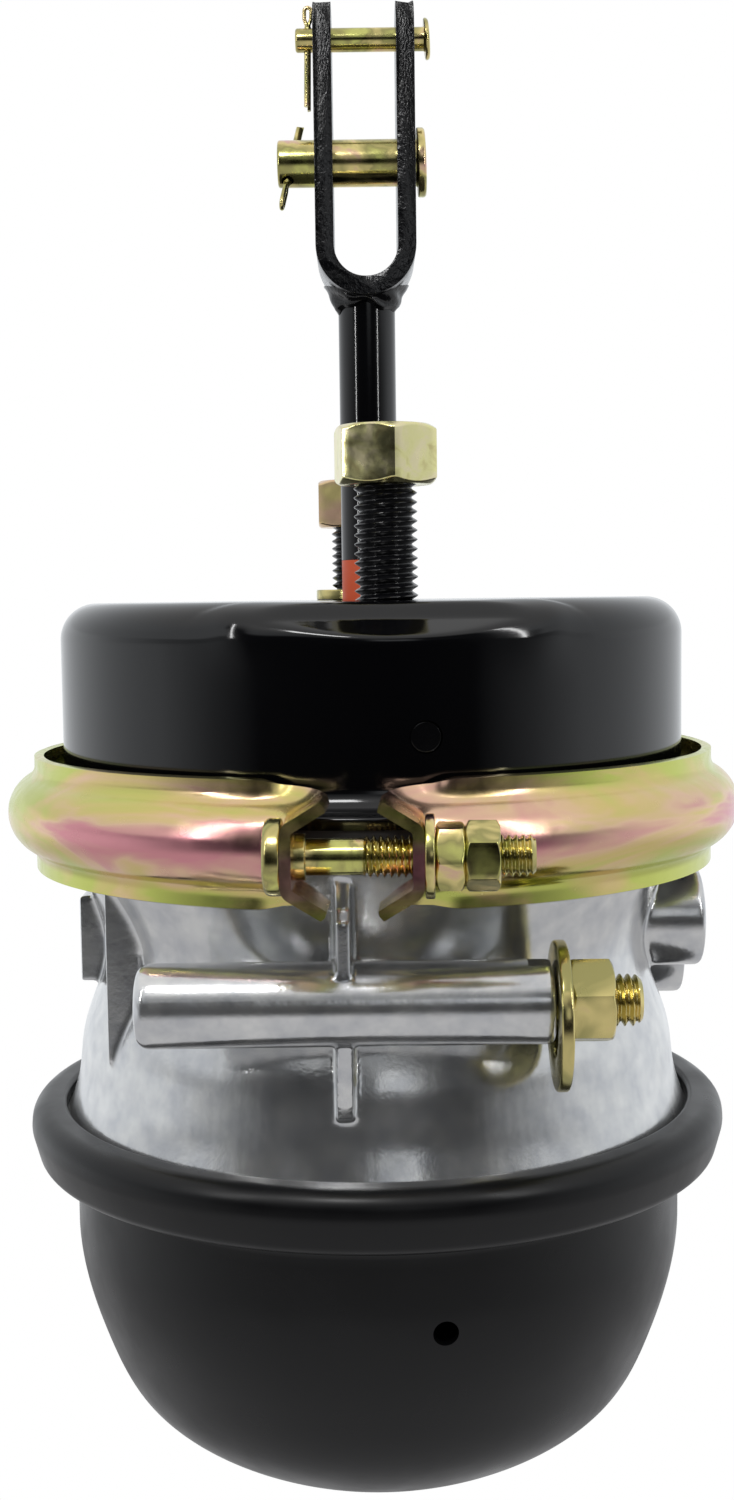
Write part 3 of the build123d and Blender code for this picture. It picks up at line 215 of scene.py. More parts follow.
def forged_black():
    """Gloss paint over the rough sheared edges of the fork and its weld."""
    made = Finish("forged_black", BLACK, 0.0, 0.2)
    made.roughen(made.noise(3), 0.08, 0.26)
    made.bump(made.noise(5, 3), 0.12)
    made.bump(made.noise(1.1, 3), 0.13)
    return made.material


def satin_black():
    made = Finish("satin_black", (0.003, 0.003, 0.0035), 0.0, 0.4)
    made.shader.inputs["Specular IOR Level"].default_value = 0.3
    made.roughen(made.noise(18), 0.26, 0.4)
    made.bump(made.noise(2.5, 3), 0.012)
    return made.material


def black_oxide():
    made = Finish("black_oxide", (0.004, 0.004, 0.005), 0.0, 0.3)
    made.roughen(made.noise(4), 0.16, 0.28)
    return made.material


def zinc(name, stops, size, low, high):
    """Yellow chromate zinc: the film's colour drifts over the piece."""
    made = Finish(name, stops[0][1], 1.0, 0.3)
    made.paint(made.ramp(made.noise(size, 2.5, distortion=0.8), stops))
    made.roughen(made.noise(5), low, high)
    made.bump(made.noise(1.2, 2), 0.006)
    return made.material


def clamp_zinc():
    """Zinc film in long streaks along the band: rose on its crest, then gold, green at its rims."""
    made = Finish("clamp_zinc", PINK, 1.0, 0.22)
    parts = made.node("ShaderNodeSeparateXYZ")
    made.link(made.coordinates.outputs["Object"], parts.inputs["Vector"])
    total = made.noise(30, 3.0, (0.5, 0.5, 2.0), 1.0)
    for axis, middle, gain in (("Z", JOINT_Z, 0.24 / 12.5), ("X", 0, 0.12 / 100)):
        away = made.maths("ABSOLUTE", made.maths("SUBTRACT", parts.outputs[axis], middle * MM))
        total = made.maths("MULTIPLY_ADD", away, gain / MM, total)
    film = made.span(total, 0, 1, 0.42, 0.96)
    made.paint(made.ramp(film, [(0.15, ROSE), (0.32, SALMON), (0.46, PEACH), (0.62, BRASS),
                                (0.84, LIME)]))
    made.roughen(made.noise(5), 0.16, 0.28)
    made.bump(made.noise(1.0, 2), 0.006)
    return made.material


def cast_aluminium():
    made = Finish("cast_aluminium", (0.62, 0.63, 0.64), 0.86, 0.4)
    made.paint(made.ramp(made.noise(7, 6), [(0.3, (0.55, 0.56, 0.58)), (0.7, (0.74, 0.74, 0.73))]))
    made.roughen(made.noise(12, 4, (1, 1, 0.4)), 0.12, 0.25)
    made.bump(made.noise(13, 2, (1, 1, 0.22)), 0.16)
    made.bump(made.noise(3.2, 4), 0.035)
    made.bump(made.noise(0.9, 3), 0.016)
    return made.material


def plain(name, colour, metallic, low, high):
    made = Finish(name, colour, metallic, low)
    made.roughen(made.noise(6), low, high)
    return made.material


FINISHES = {
    "gloss_black_paint": gloss_black(),
    "forged_black": forged_black(),
    "satin_black_paint": satin_black(),
    "black_oxide": black_oxide(),
    "yellow_zinc": zinc("yellow_zinc", [(0.30, PINK), (0.42, GOLD), (0.55, OLIVE), (0.68, GREEN)],
                        10, 0.12, 0.24),
    "clamp_zinc": clamp_zinc(),
    "nut_zinc": zinc("nut_zinc", [(0.34, DULL_GOLD), (0.46, STRAW), (0.60, PALE_GOLD)],
                     5, 0.1, 0.28),
    "pink_zinc": zinc("pink_zinc", [(0.35, ROSE), (0.5, PEACH), (0.65, GOLD)], 22, 0.14, 0.26),
    "release_zinc": zinc("release_zinc", [(0.46, OLIVE), (0.64, GOLD), (0.78, PEACH)],
                         16, 0.15, 0.3),
    "cast_aluminium": cast_aluminium(),
    "orange_mark": plain("orange_mark", (0.67, 0.09, 0.022), 0.0, 0.4, 0.6),
    "rubber": plain("rubber", (0.02, 0.02, 0.02), 0.0, 0.6, 0.8),
    "nylon": plain("nylon", (0.002, 0.002, 0.0025), 0.0, 0.12, 0.17),
    "spring_steel": plain("spring_steel", (0.12, 0.12, 0.13), 0.8, 0.35, 0.5),
    "plain_steel": plain("plain_steel", (0.5, 0.49, 0.47), 1.0, 0.3, 0.45),
}


def finish_nodes():
    """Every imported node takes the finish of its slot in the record."""
    for part in frame["record"]["subparts"]:
        shown = frame["nodes"][part["node"]]
        shown.data.materials.clear()
        shown.data.materials.append(FINISHES[part["material_slot"]])


finish_nodes()


# ---- mesh helpers, in millimetres ----
SAME_POINT = 0.002              # points nearer than this are one
X_AXIS = Matrix.Rotation(radians(90), 4, "Y")        # takes +Z to +X


def clean_mesh(name, vertices, faces):
    """Mesh from vertices in millimetres, with doubled points joined and faces turned outward."""
    mesh = bpy.data.meshes.new(name)
    mesh.from_pydata([tuple(v) for v in np.asarray(vertices, float) * MM], [], faces)
    tidy = bmesh.new()
    tidy.from_mesh(mesh)
    bmesh.ops.remove_doubles(tidy, verts=tidy.verts, dist=SAME_POINT * MM)
    bmesh.ops.recalc_face_normals(tidy, faces=tidy.faces)
    tidy.to_mesh(mesh)
    tidy.free()
    return mesh


def add_object(name, mesh):
    made = bpy.data.objects.new(name, mesh)
    scene.collection.objects.link(made)
    return made


def add_mesh(name, vertices, faces, finish, body, stands_for=(), sharp=35):
    """A piece from vertices in millimetres, riding its body and standing for CAD nodes."""
    piece = add_object(name, clean_mesh(name, vertices, faces))
    piece.data.materials.append(FINISHES[finish])
    smooth(piece, sharp)
    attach(piece, body)
    if stands_for:
        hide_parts(*stands_for)
    return piece


def smooth(piece, sharp):
    mesh = piece.data
    mesh.shade_smooth()
    mesh.set_sharp_from_angle(angle=radians(sharp))


def grid(points, along=False):
    """Vertices and quads of a grid of points [row][column], closed around, and along if asked."""
    points = np.asarray(points, float)
    rows, columns = points.shape[:2]
    faces = []
    for i in range(rows if along else rows - 1):
        for j in range(columns):
            a, b = i, (i + 1) % rows
            c, d = j, (j + 1) % columns
            faces.append((a * columns + c, a * columns + d, b * columns + d, b * columns + c))
    return points.reshape(-1, 3), faces


def joined(*shells):
    """One vertex and face list from several."""
    vertices, faces = [], []
    for shell_vertices, shell_faces in shells:
        start = len(vertices)
        vertices += [tuple(v) for v in shell_vertices]
        faces += [tuple(index + start for index in face) for face in shell_faces]
    return np.array(vertices), faces


def placed(shell, matrix):
    vertices, faces = shell
    return np.array([matrix @ Vector(v) for v in vertices]), faces


def rounded(corners, step=12, closed=True):
    """Outline through (x, y) or (x, y, radius) corners, with arcs cut in steps of degrees."""
    out = []
    count = len(corners)
    for i, corner in enumerate(corners):
        point = Vector(corner[:2])
        radius = corner[2] if len(corner) > 2 else 0
        if not radius or (not closed and i in (0, count - 1)):
            out.append(tuple(point))
            continue
        before = (Vector(corners[i - 1][:2]) - point).normalized()
        after = (Vector(corners[(i + 1) % count][:2]) - point).normalized()
        half = before.angle(after) / 2
        centre = point + (before + after).normalized() * radius / sin(half)
        start = point + before * radius / tan(half) - centre
        end = point + after * radius / tan(half) - centre
        turn = start.angle_signed(end)
        steps = max(2, round(degrees(abs(turn)) / step))
        for k in range(steps + 1):
            angle = -turn * k / steps
            out.append((centre.x + start.x * cos(angle) - start.y * sin(angle),
                        centre.y + start.x * sin(angle) + start.y * cos(angle)))
    return out


def refined(outline, longest, closed=True):
    """The outline with every stretch cut to at most longest millimetres."""
    out = []
    pairs = list(zip(outline, outline[1:] + outline[:1] if closed else outline[1:]))
    for (x0, y0), (x1, y1) in pairs:
        parts = max(1, int(hypot(x1 - x0, y1 - y0) / longest))
        out += [(x0 + (x1 - x0) * k / parts, y0 + (y1 - y0) * k / parts) for k in range(parts)]
    if not closed:
        out.append(outline[-1])
    return out


def turned(outline, columns, closed=True):
    """Surface of revolution about Z from an outline of (radius, z)."""
    angles = [2 * pi * k / columns for k in range(columns)]
    rows = [[(r * cos(a), r * sin(a), z) for a in angles] for r, z in outline]
    return grid(rows, along=closed)


def spun(corners, step, columns, longest=1000):
    """Solid turned about Z from (radius, z) corners that begin and end on the axis."""
    outline = refined(rounded(corners, step, closed=False), longest, closed=False)
    return turned(outline, columns, closed=False)


def at(x, y, z, *turns):
    """Placement by the turns, the last of them first, and then a shift to (x, y, z)."""
    made = Matrix.Translation((x, y, z))
    for turn in turns:
        made = made @ turn
    return made


def about(axis, angle):
    return Matrix.Rotation(radians(angle), 4, axis)


def apply_modifiers(piece):
    shown = bpy.context.evaluated_depsgraph_get()
    shown.update()
    mesh = bpy.data.meshes.new_from_object(piece.evaluated_get(shown))
    piece.modifiers.clear()
    piece.data = mesh


def cut_away(piece, shells, sharp=35):
    """Boolean difference of the closed shells from piece."""
    for vertices, faces in shells:
        cutter = add_object("cutter", clean_mesh("cutter", vertices, faces))
        boolean = piece.modifiers.new("cut", "BOOLEAN")
        boolean.operation = "DIFFERENCE"
        boolean.solver = "EXACT"
        boolean.object = cutter
        apply_modifiers(piece)
        bpy.data.objects.remove(cutter)
    smooth(piece, sharp)


def bar(radius, bottom, top, columns=64):
    """Closed plain cylinder along Z."""
    return turned([(0, bottom), (radius, bottom), (radius, top), (0, top)], columns, closed=False)


def box(low, high):
    (x0, y0, z0), (x1, y1, z1) = low, high
    corners = [(x, y, z) for z in (z0, z1) for y in (y0, y1) for x in (x0, x1)]
    faces = [(0, 2, 3, 1), (4, 5, 7, 6), (0, 1, 5, 4), (2, 6, 7, 3), (0, 4, 6, 2), (1, 3, 7, 5)]
    return np.array(corners, float), faces


# ---- threads and nuts ----
THREAD_DEPTH = 0.61             # of a pitch
THREAD_CREST = 0.1              # share of half a pitch that the flat crest takes
THREAD_FLANK = 0.76             # and that a flank takes
THREAD_ROWS = 10                # to a pitch
NUT_FACE = 0.955                # round on a nut's face, of the width across flats
NUT_SLOPE = 1.73                # of the chamfer round that face
NUT_BOW = 0.06                  # how far a flat bows out in its middle
NUT_STEPS = 22                  # points along each flat
BORE_CHAMFER = 0.7
BORE_CHAMFER_DEPTH = 0.9


def thread(radius, pitch, bottom, top, both_ends=False, columns=56):
    """Threaded bar along Z, chamfered at its top and, if asked, at its bottom too."""
    depth = THREAD_DEPTH * pitch
    core = radius - depth - 0.2
    count = int((top - bottom) / pitch * THREAD_ROWS)
    rows = [[(0, 0, bottom)] * columns]
    for i in range(count + 1):
        z = bottom + (top - bottom) * i / count
        cap = min(core + (top - z), core + (z - bottom) if both_ends else radius)
        ring = []
        for k in range(columns):
            turn = (z / pitch - k / columns) % 1
            fall = (abs(turn - 0.5) * 2 - THREAD_CREST) / THREAD_FLANK
            fall = min(max(fall, 0), 1)                  # 0 at the crest, 1 at the root
            r = min(radius - depth * fall, max(cap, core))
            a = 2 * pi * k / columns
            ring.append((r * cos(a), r * sin(a), z))
        rows.append(ring)
    rows.append([(0, 0, top)] * columns)
    return grid(rows)


def soft_least(values, spread):
    """Smooth minimum, so that edges come out slightly rounded."""
    least = min(values)
    return least - spread * np.log(sum(np.exp(-(value - least) / spread) for value in values))


def hex_nut(flats, thickness, bore, edge):
    """Hexagon nut along Z from 0, both faces chamfered to a round, edges slightly rounded."""
    half = flats / 2
    face_radius = half * NUT_FACE
    reach = (flats / sqrt(3) - face_radius) / NUT_SLOPE
    fine = [reach * 1.25 * (k / 9) ** 1.3 for k in range(10)]
    levels = fine + [thickness - z for z in reversed(fine)]
    angles = []
    for side in range(6):
        for k in range(NUT_STEPS):
            share = k / NUT_STEPS
            angles.append(radians(60 * side + 60 * (share + 0.55 * sin(2 * pi * share) / (2 * pi))))
    mouth = bore + BORE_CHAMFER
    rows = [[(bore * cos(a), bore * sin(a), BORE_CHAMFER_DEPTH) for a in angles],
            [(mouth * cos(a), mouth * sin(a), 0) for a in angles]]
    for z in levels:
        ring = []
        for a in angles:
            flat = (a + pi / 6) % (pi / 3) - pi / 6      # 0 at a corner
            planes = [half / cos(pi / 6 - abs(flat)), half / cos(pi / 6 + abs(flat)),
                      face_radius + NUT_SLOPE * z, face_radius + NUT_SLOPE * (thickness - z)]
            bow = NUT_BOW * (1 - (abs(flat) / (pi / 6) - 1) ** 2)
            r = soft_least(planes, edge) - NUT_BOW + bow
            ring.append((r * cos(a), r * sin(a), z))
        rows.append(ring)
    rows.append([(mouth * cos(a), mouth * sin(a), thickness) for a in angles])
    rows.append([(bore * cos(a), bore * sin(a), thickness - BORE_CHAMFER_DEPTH) for a in angles])
    return grid(rows, along=True)


def washer(radius, bore, thickness, edge=0.35):
    outline = rounded([(bore, 0, edge * 0.6), (radius, 0, edge), (radius, thickness, edge),
                       (bore, thickness, edge * 0.6)], 22)
    return turned(outline, 128)


# ---- housing ----
HOUSING_RADIUS = 87.2
HOUSING_WALL = 3.0
HOUSING_SHOULDER = 10.0
HOUSING_BORE = 15.0
HOUSING_COLUMNS = 480
FLANGE_RADIUS = 96.4
FLANGE_TOP = -50.3
STUD_TURN = 3.7                 # how far the two studs are turned about the rod
STUD_HALF_SPACING = 60.325
PAD_EDGE = 76.5                 # where the stamped flat beside a stud leaves the top
PAD_START = -6                  # its reach inside that edge
PAD_RISE = 0.35                 # its slope up to the edge
PAD_STEPS = [(0, 0), (3.2, -4.4), (10.7, -8.7), (30, -20)]      # (reach, height) past the edge
PAD_FOOT = -30
PAD_SWELLS = ((39, -2, 5, 1.0), (36, -9, 8, 0.7))    # across, z, size, amount, at both its ends
VENT_TURN = 8.3
VENT_Z = -32.5
VENT_RADIUS = 4.0


def pad_height(reach):
    """Height of the stamped pad at a distance past its edge."""
    if reach <= 0:
        return -reach * PAD_RISE
    return float(np.interp(reach, *zip(*PAD_STEPS)))


def press_pads(vertices, inset):
    """Presses the two stamped flats into the top, and swells the metal beside them."""
    turn = radians(STUD_TURN)
    for v in vertices:
        out = v[0] * sin(turn) - v[1] * cos(turn)
        across = v[0] * cos(turn) + v[1] * sin(turn)
        for side in (1, -1):
            reach = out * side - PAD_EDGE
            if reach < PAD_START or v[2] < PAD_FOOT:
                continue
            v[2] = soft_least([v[2], pad_height(reach) - inset], 0.7)
            for middle, height, size, swell in PAD_SWELLS:
                for end in (1, -1):
                    away = hypot(across - end * middle, v[2] - height) / size
                    push = swell * np.exp(-away * away)
                    v[:2] *= 1 + push / max(hypot(v[0], v[1]), 1)
    return vertices


def make_housing():
    wall, side = HOUSING_WALL, HOUSING_RADIUS - HOUSING_WALL
    top = [(HOUSING_BORE, 0), (HOUSING_RADIUS, 0, HOUSING_SHOULDER),
           (HOUSING_RADIUS, FLANGE_TOP, 6), (FLANGE_RADIUS, FLANGE_TOP, 0.8),
           (FLANGE_RADIUS, FLANGE_TOP - wall)]
    under = [(side, FLANGE_TOP - wall), (side, -wall, HOUSING_SHOULDER - wall),
             (HOUSING_BORE, -wall)]
    outer = refined(rounded(top, 4, closed=False), 0.8, closed=False)
    inner = refined(rounded(under, 8, closed=False), 1.6, closed=False)
    angles = [2 * pi * k / HOUSING_COLUMNS for k in range(HOUSING_COLUMNS)]
    shells = []
    for outline, inset in ((outer, 0), (inner, wall)):
        rows = np.array([[(r * cos(a), r * sin(a), z) for a in angles] for r, z in outline])
        shells.append(press_pads(rows.reshape(-1, 3), inset).reshape(rows.shape))
    shell = grid(np.concatenate(shells), along=True)
    piece = add_mesh("housing", *shell, "gloss_black_paint", "chamber", ["non_pressure_housing"], 50)
    vent = at(0, 0, VENT_Z, about("Z", VENT_TURN - 90), X_AXIS)
    cut_away(piece, [placed(bar(VENT_RADIUS, HOUSING_RADIUS - 8, HOUSING_RADIUS + 5), vent)], 50)
    snug = VENT_RADIUS - 0.06
    plug = turned(rounded([(0, 0), (snug, 0), (snug, 3.1, 0.5), (0, 2.9)], 20), 64, closed=False)
    add_mesh("vent_plug", *placed(plug, vent @ at(0, 0, side - 0.6)), "nylon", "chamber",
             ["housing_vent_plug"])


# ---- studs and their nuts ----
STUD_RADIUS = 7.94
STUD_PITCH = INCH / 11
STUD_END = 36.5
STUD_HEAD = [(0, -7), (14, -7), (14, -3.1), (8.4, -3.1), (8.4, -0.2), (0, -0.2)]
STUD_NUT_FLATS = 23.8
STUD_NUT_THICKNESS = 14.6
NEAR_NUT_SEAT = 28.6
FAR_NUT_SEAT = 22.8
NEAR_NUT_TURN = 39.6
FAR_NUT_TURN = 30.0
FLAT_GAP = 0.05                 # under a washer or a nut


def stud_foot(side):
    """x and y of the near stud, for side 1, or of the far one, for side -1."""
    turn = radians(STUD_TURN)
    return side * STUD_HALF_SPACING * sin(turn), -side * STUD_HALF_SPACING * cos(turn)


def make_studs():
    for name, side, seat, nut_turn, finish in (
            ("near", 1, NEAR_NUT_SEAT, NEAR_NUT_TURN, "nut_zinc"),
            ("far", -1, FAR_NUT_SEAT, FAR_NUT_TURN, "pink_zinc")):
        x, y = stud_foot(side)
        shell = joined(thread(STUD_RADIUS, STUD_PITCH, -0.1, STUD_END),
                       turned(STUD_HEAD, 64, closed=False))
        add_mesh(name + "_stud", *placed(shell, at(x, y, 0)), "black_oxide", "chamber",
                 ["mounting_studs"], 50)
        nut = hex_nut(STUD_NUT_FLATS, STUD_NUT_THICKNESS, STUD_RADIUS - 0.9, 0.16)
        add_mesh(name + "_nut", *placed(nut, at(x, y, seat, about("Z", nut_turn))), finish,
                 "chamber", ["mounting_nuts"])
    loose = placed(washer(13.0, 9.3, 3.2), at(*stud_foot(-1), FLAT_GAP))
    add_mesh("stud_loose_washer", *loose, "yellow_zinc", "chamber", ["stud_washer"])


# ---- push rod and clevis ----
ROD_RADIUS = 7.95
ROD_FOOT = -11.35
MARK_TOP = 11.3
MARK_BOTTOM = -2.7
MARK_DEPTH = 0.2                # of the groove that the mark fills
ROOT_Z = 83.3                   # underside of the fork
FORK_HALF_WIDTH = 13.8
EAR = 5.0
FORK_BEND = 13.6
FORK_CORNER = 1.2
FORK_EDGE = 0.9
FORK_DEPTH = 25.4
FORK_TOP = 164.2
PIN_Z = 121.2
PIN_RADIUS = 6.35
SMALL_PIN_Z = 154.55
SMALL_PIN_RADIUS = 3.175
PIN_PLAY = 0.12
WELD_STEPS = 30


def make_rod():
    inside, top = ROD_RADIUS - MARK_DEPTH, ROOT_Z - 0.1
    rod = spun([(0, ROD_FOOT), (ROD_RADIUS, ROD_FOOT), (ROD_RADIUS, MARK_BOTTOM),
                (inside, MARK_BOTTOM), (inside, MARK_TOP), (ROD_RADIUS, MARK_TOP),
                (ROD_RADIUS, top), (0, top)], 20, 128, 4)
    add_mesh("rod", *rod, "gloss_black_paint", "rod", ["push_rod"])
    mark = [(inside + 0.02, MARK_BOTTOM + 0.02), (ROD_RADIUS - 0.02, MARK_BOTTOM + 0.1),
            (ROD_RADIUS, MARK_BOTTOM + 0.3), (ROD_RADIUS, MARK_TOP - 0.3),
            (ROD_RADIUS - 0.02, MARK_TOP - 0.1), (inside + 0.02, MARK_TOP - 0.02)]
    add_mesh("mark", *turned(mark, 128), "orange_mark", "rod", ["stroke_mark"])


def fork_plan():
    """Closed outline of the fork seen from the front."""
    outer, inner, foot = FORK_HALF_WIDTH, FORK_HALF_WIDTH - EAR, ROOT_Z + EAR
    return rounded([(-outer, ROOT_Z, FORK_BEND), (outer, ROOT_Z, FORK_BEND),
                    (outer, FORK_TOP, FORK_CORNER), (inner, FORK_TOP, FORK_CORNER),
                    (inner, foot, FORK_BEND - EAR), (-inner, foot, FORK_BEND - EAR),
                    (-inner, FORK_TOP, FORK_CORNER), (-outer, FORK_TOP, FORK_CORNER)], 6)


def prism_faces(count):
    """Faces that close two outlines of count points each into a solid."""
    faces = [tuple(range(count)), tuple(range(2 * count - 1, count - 1, -1))]
    return faces + [(i, count + i, count + (i + 1) % count, (i + 1) % count) for i in range(count)]


def make_fork():
    plan = refined(fork_plan(), 2.0)
    half = FORK_DEPTH / 2
    crown = half - 0.5                                   # radius of the ears' round tops
    vertices = []
    for side in (-1, 1):
        for x, z in plan:
            over = max(z - (FORK_TOP - crown), 0)
            reach = half - crown + sqrt(max(crown ** 2 - over ** 2, 0)) if over else half
            vertices.append((x, side * reach, z))
    piece = add_mesh("fork", vertices, prism_faces(len(plan)), "forged_black", "rod", ["clevis"], 40)
    bevel = piece.modifiers.new("edges", "BEVEL")
    bevel.width = FORK_EDGE * MM
    bevel.segments = 3
    bevel.limit_method = "ANGLE"
    bevel.angle_limit = radians(50)
    apply_modifiers(piece)
    holes = [placed(bar(radius + PIN_PLAY, -30, 30, 48), at(0, 0, z, X_AXIS))
             for radius, z in ((PIN_RADIUS, PIN_Z), (SMALL_PIN_RADIUS, SMALL_PIN_Z))]
    cut_away(piece, holes, 40)


def make_weld():
    """Lumpy fillet weld between the rod and the curved foot of the fork."""
    columns = 120
    rows = [[(0, 0, ROOT_Z - 3.6)] * columns]
    for i in range(WELD_STEPS + 1):
        share = i / WELD_STEPS
        ring = []
        for k in range(columns):
            a = 2 * pi * k / columns
            lobe = cos(a) ** 2
            low = ROOT_Z - 2.6 + 0.9 * sin(3 * a + 0.5) + 0.5 * sin(7 * a)
            high = ROOT_Z + 1.2 + 3.0 * lobe
            z = low + (high - low) * share
            swell = 0.9 * min(share * 6, 1) + (2.1 + 0.9 * lobe) * share ** 1.5
            ripple = 0.22 * sin(9 * a + 4 * share) + 0.3 * sin(5 * a + 9 * share)
            r = ROD_RADIUS + 0.1 + swell + ripple * sin(pi * share)
            ring.append((r * cos(a), r * sin(a), z))
        rows.append(ring)
    rows.append([(0, 0, ROOT_Z + 2)] * columns)
    add_mesh("fork_weld", *grid(rows), "forged_black", "rod", sharp=60)


# ---- pins ----
PINS = {
    "clevis_pin": dict(
        body="clevis_pin_body", z=PIN_Z, hole=1.7, inset=3.8, lean=-33, tilt=189.3, roll=90,
        shape=dict(radius=PIN_RADIUS, tail=24.2, head_x=FORK_HALF_WIDTH + 0.75,
                   head_radius=9.3, thickness=2.3, wobble=0.3),
        cotter=dict(radius=1.1, head=7.8, eye=8.4, leg=14.6, half_width=1.5)),
    "adjuster_pin": dict(
        body="adjuster_pin_body", z=SMALL_PIN_Z, hole=1.1, inset=3.4, lean=0, tilt=1.0, roll=0,
        shape=dict(radius=SMALL_PIN_RADIUS, tail=18.8, head_x=FORK_HALF_WIDTH + 3.1,
                   head_radius=5.5, thickness=1.3, wobble=0.35),
        cotter=dict(radius=0.95, head=3.9, eye=4.9, leg=19.0, half_width=0.95)),
}
COTTER_COLUMNS = 14


def split_pin(radius, head, eye, leg, half_width):
    """Two half-round legs and a long open eye: the strand is swept along its centre line."""
    strand = radius * 0.56                               # radius of the eye's wire
    gap = 0.015
    line = [(gap, -leg), (gap, head - 0.4)]
    line += rounded([(gap, head - 0.4), (half_width, head + 1.8, 1.4),
                     (half_width, head + eye, half_width * 0.98),
                     (-half_width, head + eye, half_width * 0.98),
                     (-half_width, head + 1.8, 1.4), (-gap, head - 0.4)], 15, closed=False)[1:]
    line += [(-gap, -leg + 1.2)]
    line = refined(line, 0.7, closed=False)
    rows = []
    for i, (x, z) in enumerate(line):
        before, after = line[max(i - 1, 0)], line[min(i + 1, len(line) - 1)]
        along = Vector((after[0] - before[0], after[1] - before[1])).normalized()
        inward = Vector((along.y, -along.x))
        straight = z < head and abs(x) <= gap + 1e-6
        ring = []
        for k in range(COTTER_COLUMNS):
            a = 2 * pi * k / COTTER_COLUMNS
            across, deep = strand * cos(a), strand * sin(a)
            if straight:
                across = radius * max(cos(a), 0) * 0.98
                deep = radius * sin(a) * 0.98
                inward = Vector((1 if x > 0 else -1, 0))
            ring.append((x + inward.x * across, deep, z + inward.y * across))
        rows.append(ring)
    ends = [[tuple(np.mean(row, axis=0))] * COTTER_COLUMNS for row in (rows[0], rows[-1])]
    return grid([ends[0], *rows, ends[1]])


def headed_pin(radius, tail, head_x, head_radius, thickness, wobble):
    """Pin along Z with its head at the top, one side of which is raised by wobble."""
    top = head_x + thickness
    vertices, faces = spun([(0, -tail), (radius, -tail, 0.7), (radius, head_x, 0.3),
                            (head_radius, head_x, 0.4), (head_radius, top, 0.9), (0, top)],
                           15, 96, 2.5)
    for v in vertices:
        if v[2] > head_x - 0.01 and hypot(v[0], v[1]) > radius:
            v[2] += wobble * v[0] / head_radius
    return vertices, faces


def make_pins():
    for name, pin in PINS.items():
        shape = pin["shape"]
        shell = placed(headed_pin(**shape), at(0, 0, pin["z"], X_AXIS))
        piece = add_mesh(name + "_turned", *shell, "yellow_zinc", pin["body"], [name])
        place = at(pin["inset"] - shape["tail"], 0, pin["z"], about("X", pin["lean"]),
                   about("Y", pin["tilt"]))
        reach = 2 * shape["radius"]
        cut_away(piece, [placed(bar(pin["hole"], -reach, reach, 32), place)])
        cotter = placed(split_pin(**pin["cotter"]), place @ about("Z", pin["roll"]))
        add_mesh(name + "_split_pin", *cotter, "yellow_zinc", pin["body"], [name + "_cotter"], 60)


# ---- clamp band ----
BAND_RADIUS = 102.8
BAND_THICKNESS = 2.6
BAND_TURN = -2.5                # how far the band's joints are turned
BAND_SECTION = [(-7.5, 15.4), (-7.5, 10.68, 3.5), (11, 0, 11), (-7.5, -10.68, 3.5), (-7.5, -15.4)]
LUG_SECTION = [(-9.0, 13.2), (0, 7.7, 3.6), (0, -7.7, 3.6), (-9.0, -13.2)]
SECTION_POINTS = 58
BAND_STEPS = 90
BEND_STEPS = 12
LUG_STEPS = 10
SHEET_NOSE = 0.45               # how far the sheet's edges stand out in their middle
LUG_FACE_X = 16.05              # outer face of a lug, from the middle of the joint
LUG_END_Y = -120.4
LUG_RUN = 12                    # length of crest that keeps the lug's section
LUG_FADE = 17                   # length over which it opens into the band's section
BEND_RADIUS = 4.0
BOLT_Y = -111.84
BOLT_RADIUS = 4.76
BOLT_PITCH = INCH / 16
BOLT_HOLE = 5.2
CLAMP_NUT_FLATS = 14.3
CLAMP_NUT_BORE = 4.3
CLAMP_NUT_SEAT = 2.3            # outer face of the washer, from the lug


def even(outline, count):
    """The outline as count points evenly spaced along it."""
    line = np.array(outline)
    run = np.concatenate([[0], np.cumsum(np.hypot(*np.diff(line, axis=0).T))])
    wanted = np.linspace(0, run[-1], count)
    return np.stack([np.interp(wanted, run, line[:, 0]), np.interp(wanted, run, line[:, 1])], 1)


def sheet(outline, thickness):
    """Closed loop of (out, z) points: an outer line and its inside, thickness away."""
    run = np.gradient(outline, axis=0)
    run /= np.hypot(run[:, 0], run[:, 1])[:, None]
    inward = np.stack([run[:, 1], -run[:, 0]], 1)
    if inward[len(inward) // 2][0] > 0:
        inward = -inward
    inside = outline + inward * thickness
    edge = (outline[0] + inside[0]) / 2 - run[0] * SHEET_NOSE
    other = (outline[-1] + inside[-1]) / 2 + run[-1] * SHEET_NOSE
    return np.concatenate([outline, [other], inside[::-1], [edge]])


def band_sections():
    """Closed sections of the round band and of the folded lug, point for point alike."""
    return [sheet(even(rounded(corners, 4, closed=False), SECTION_POINTS), BAND_THICKNESS)
            for corners in (BAND_SECTION, LUG_SECTION)]


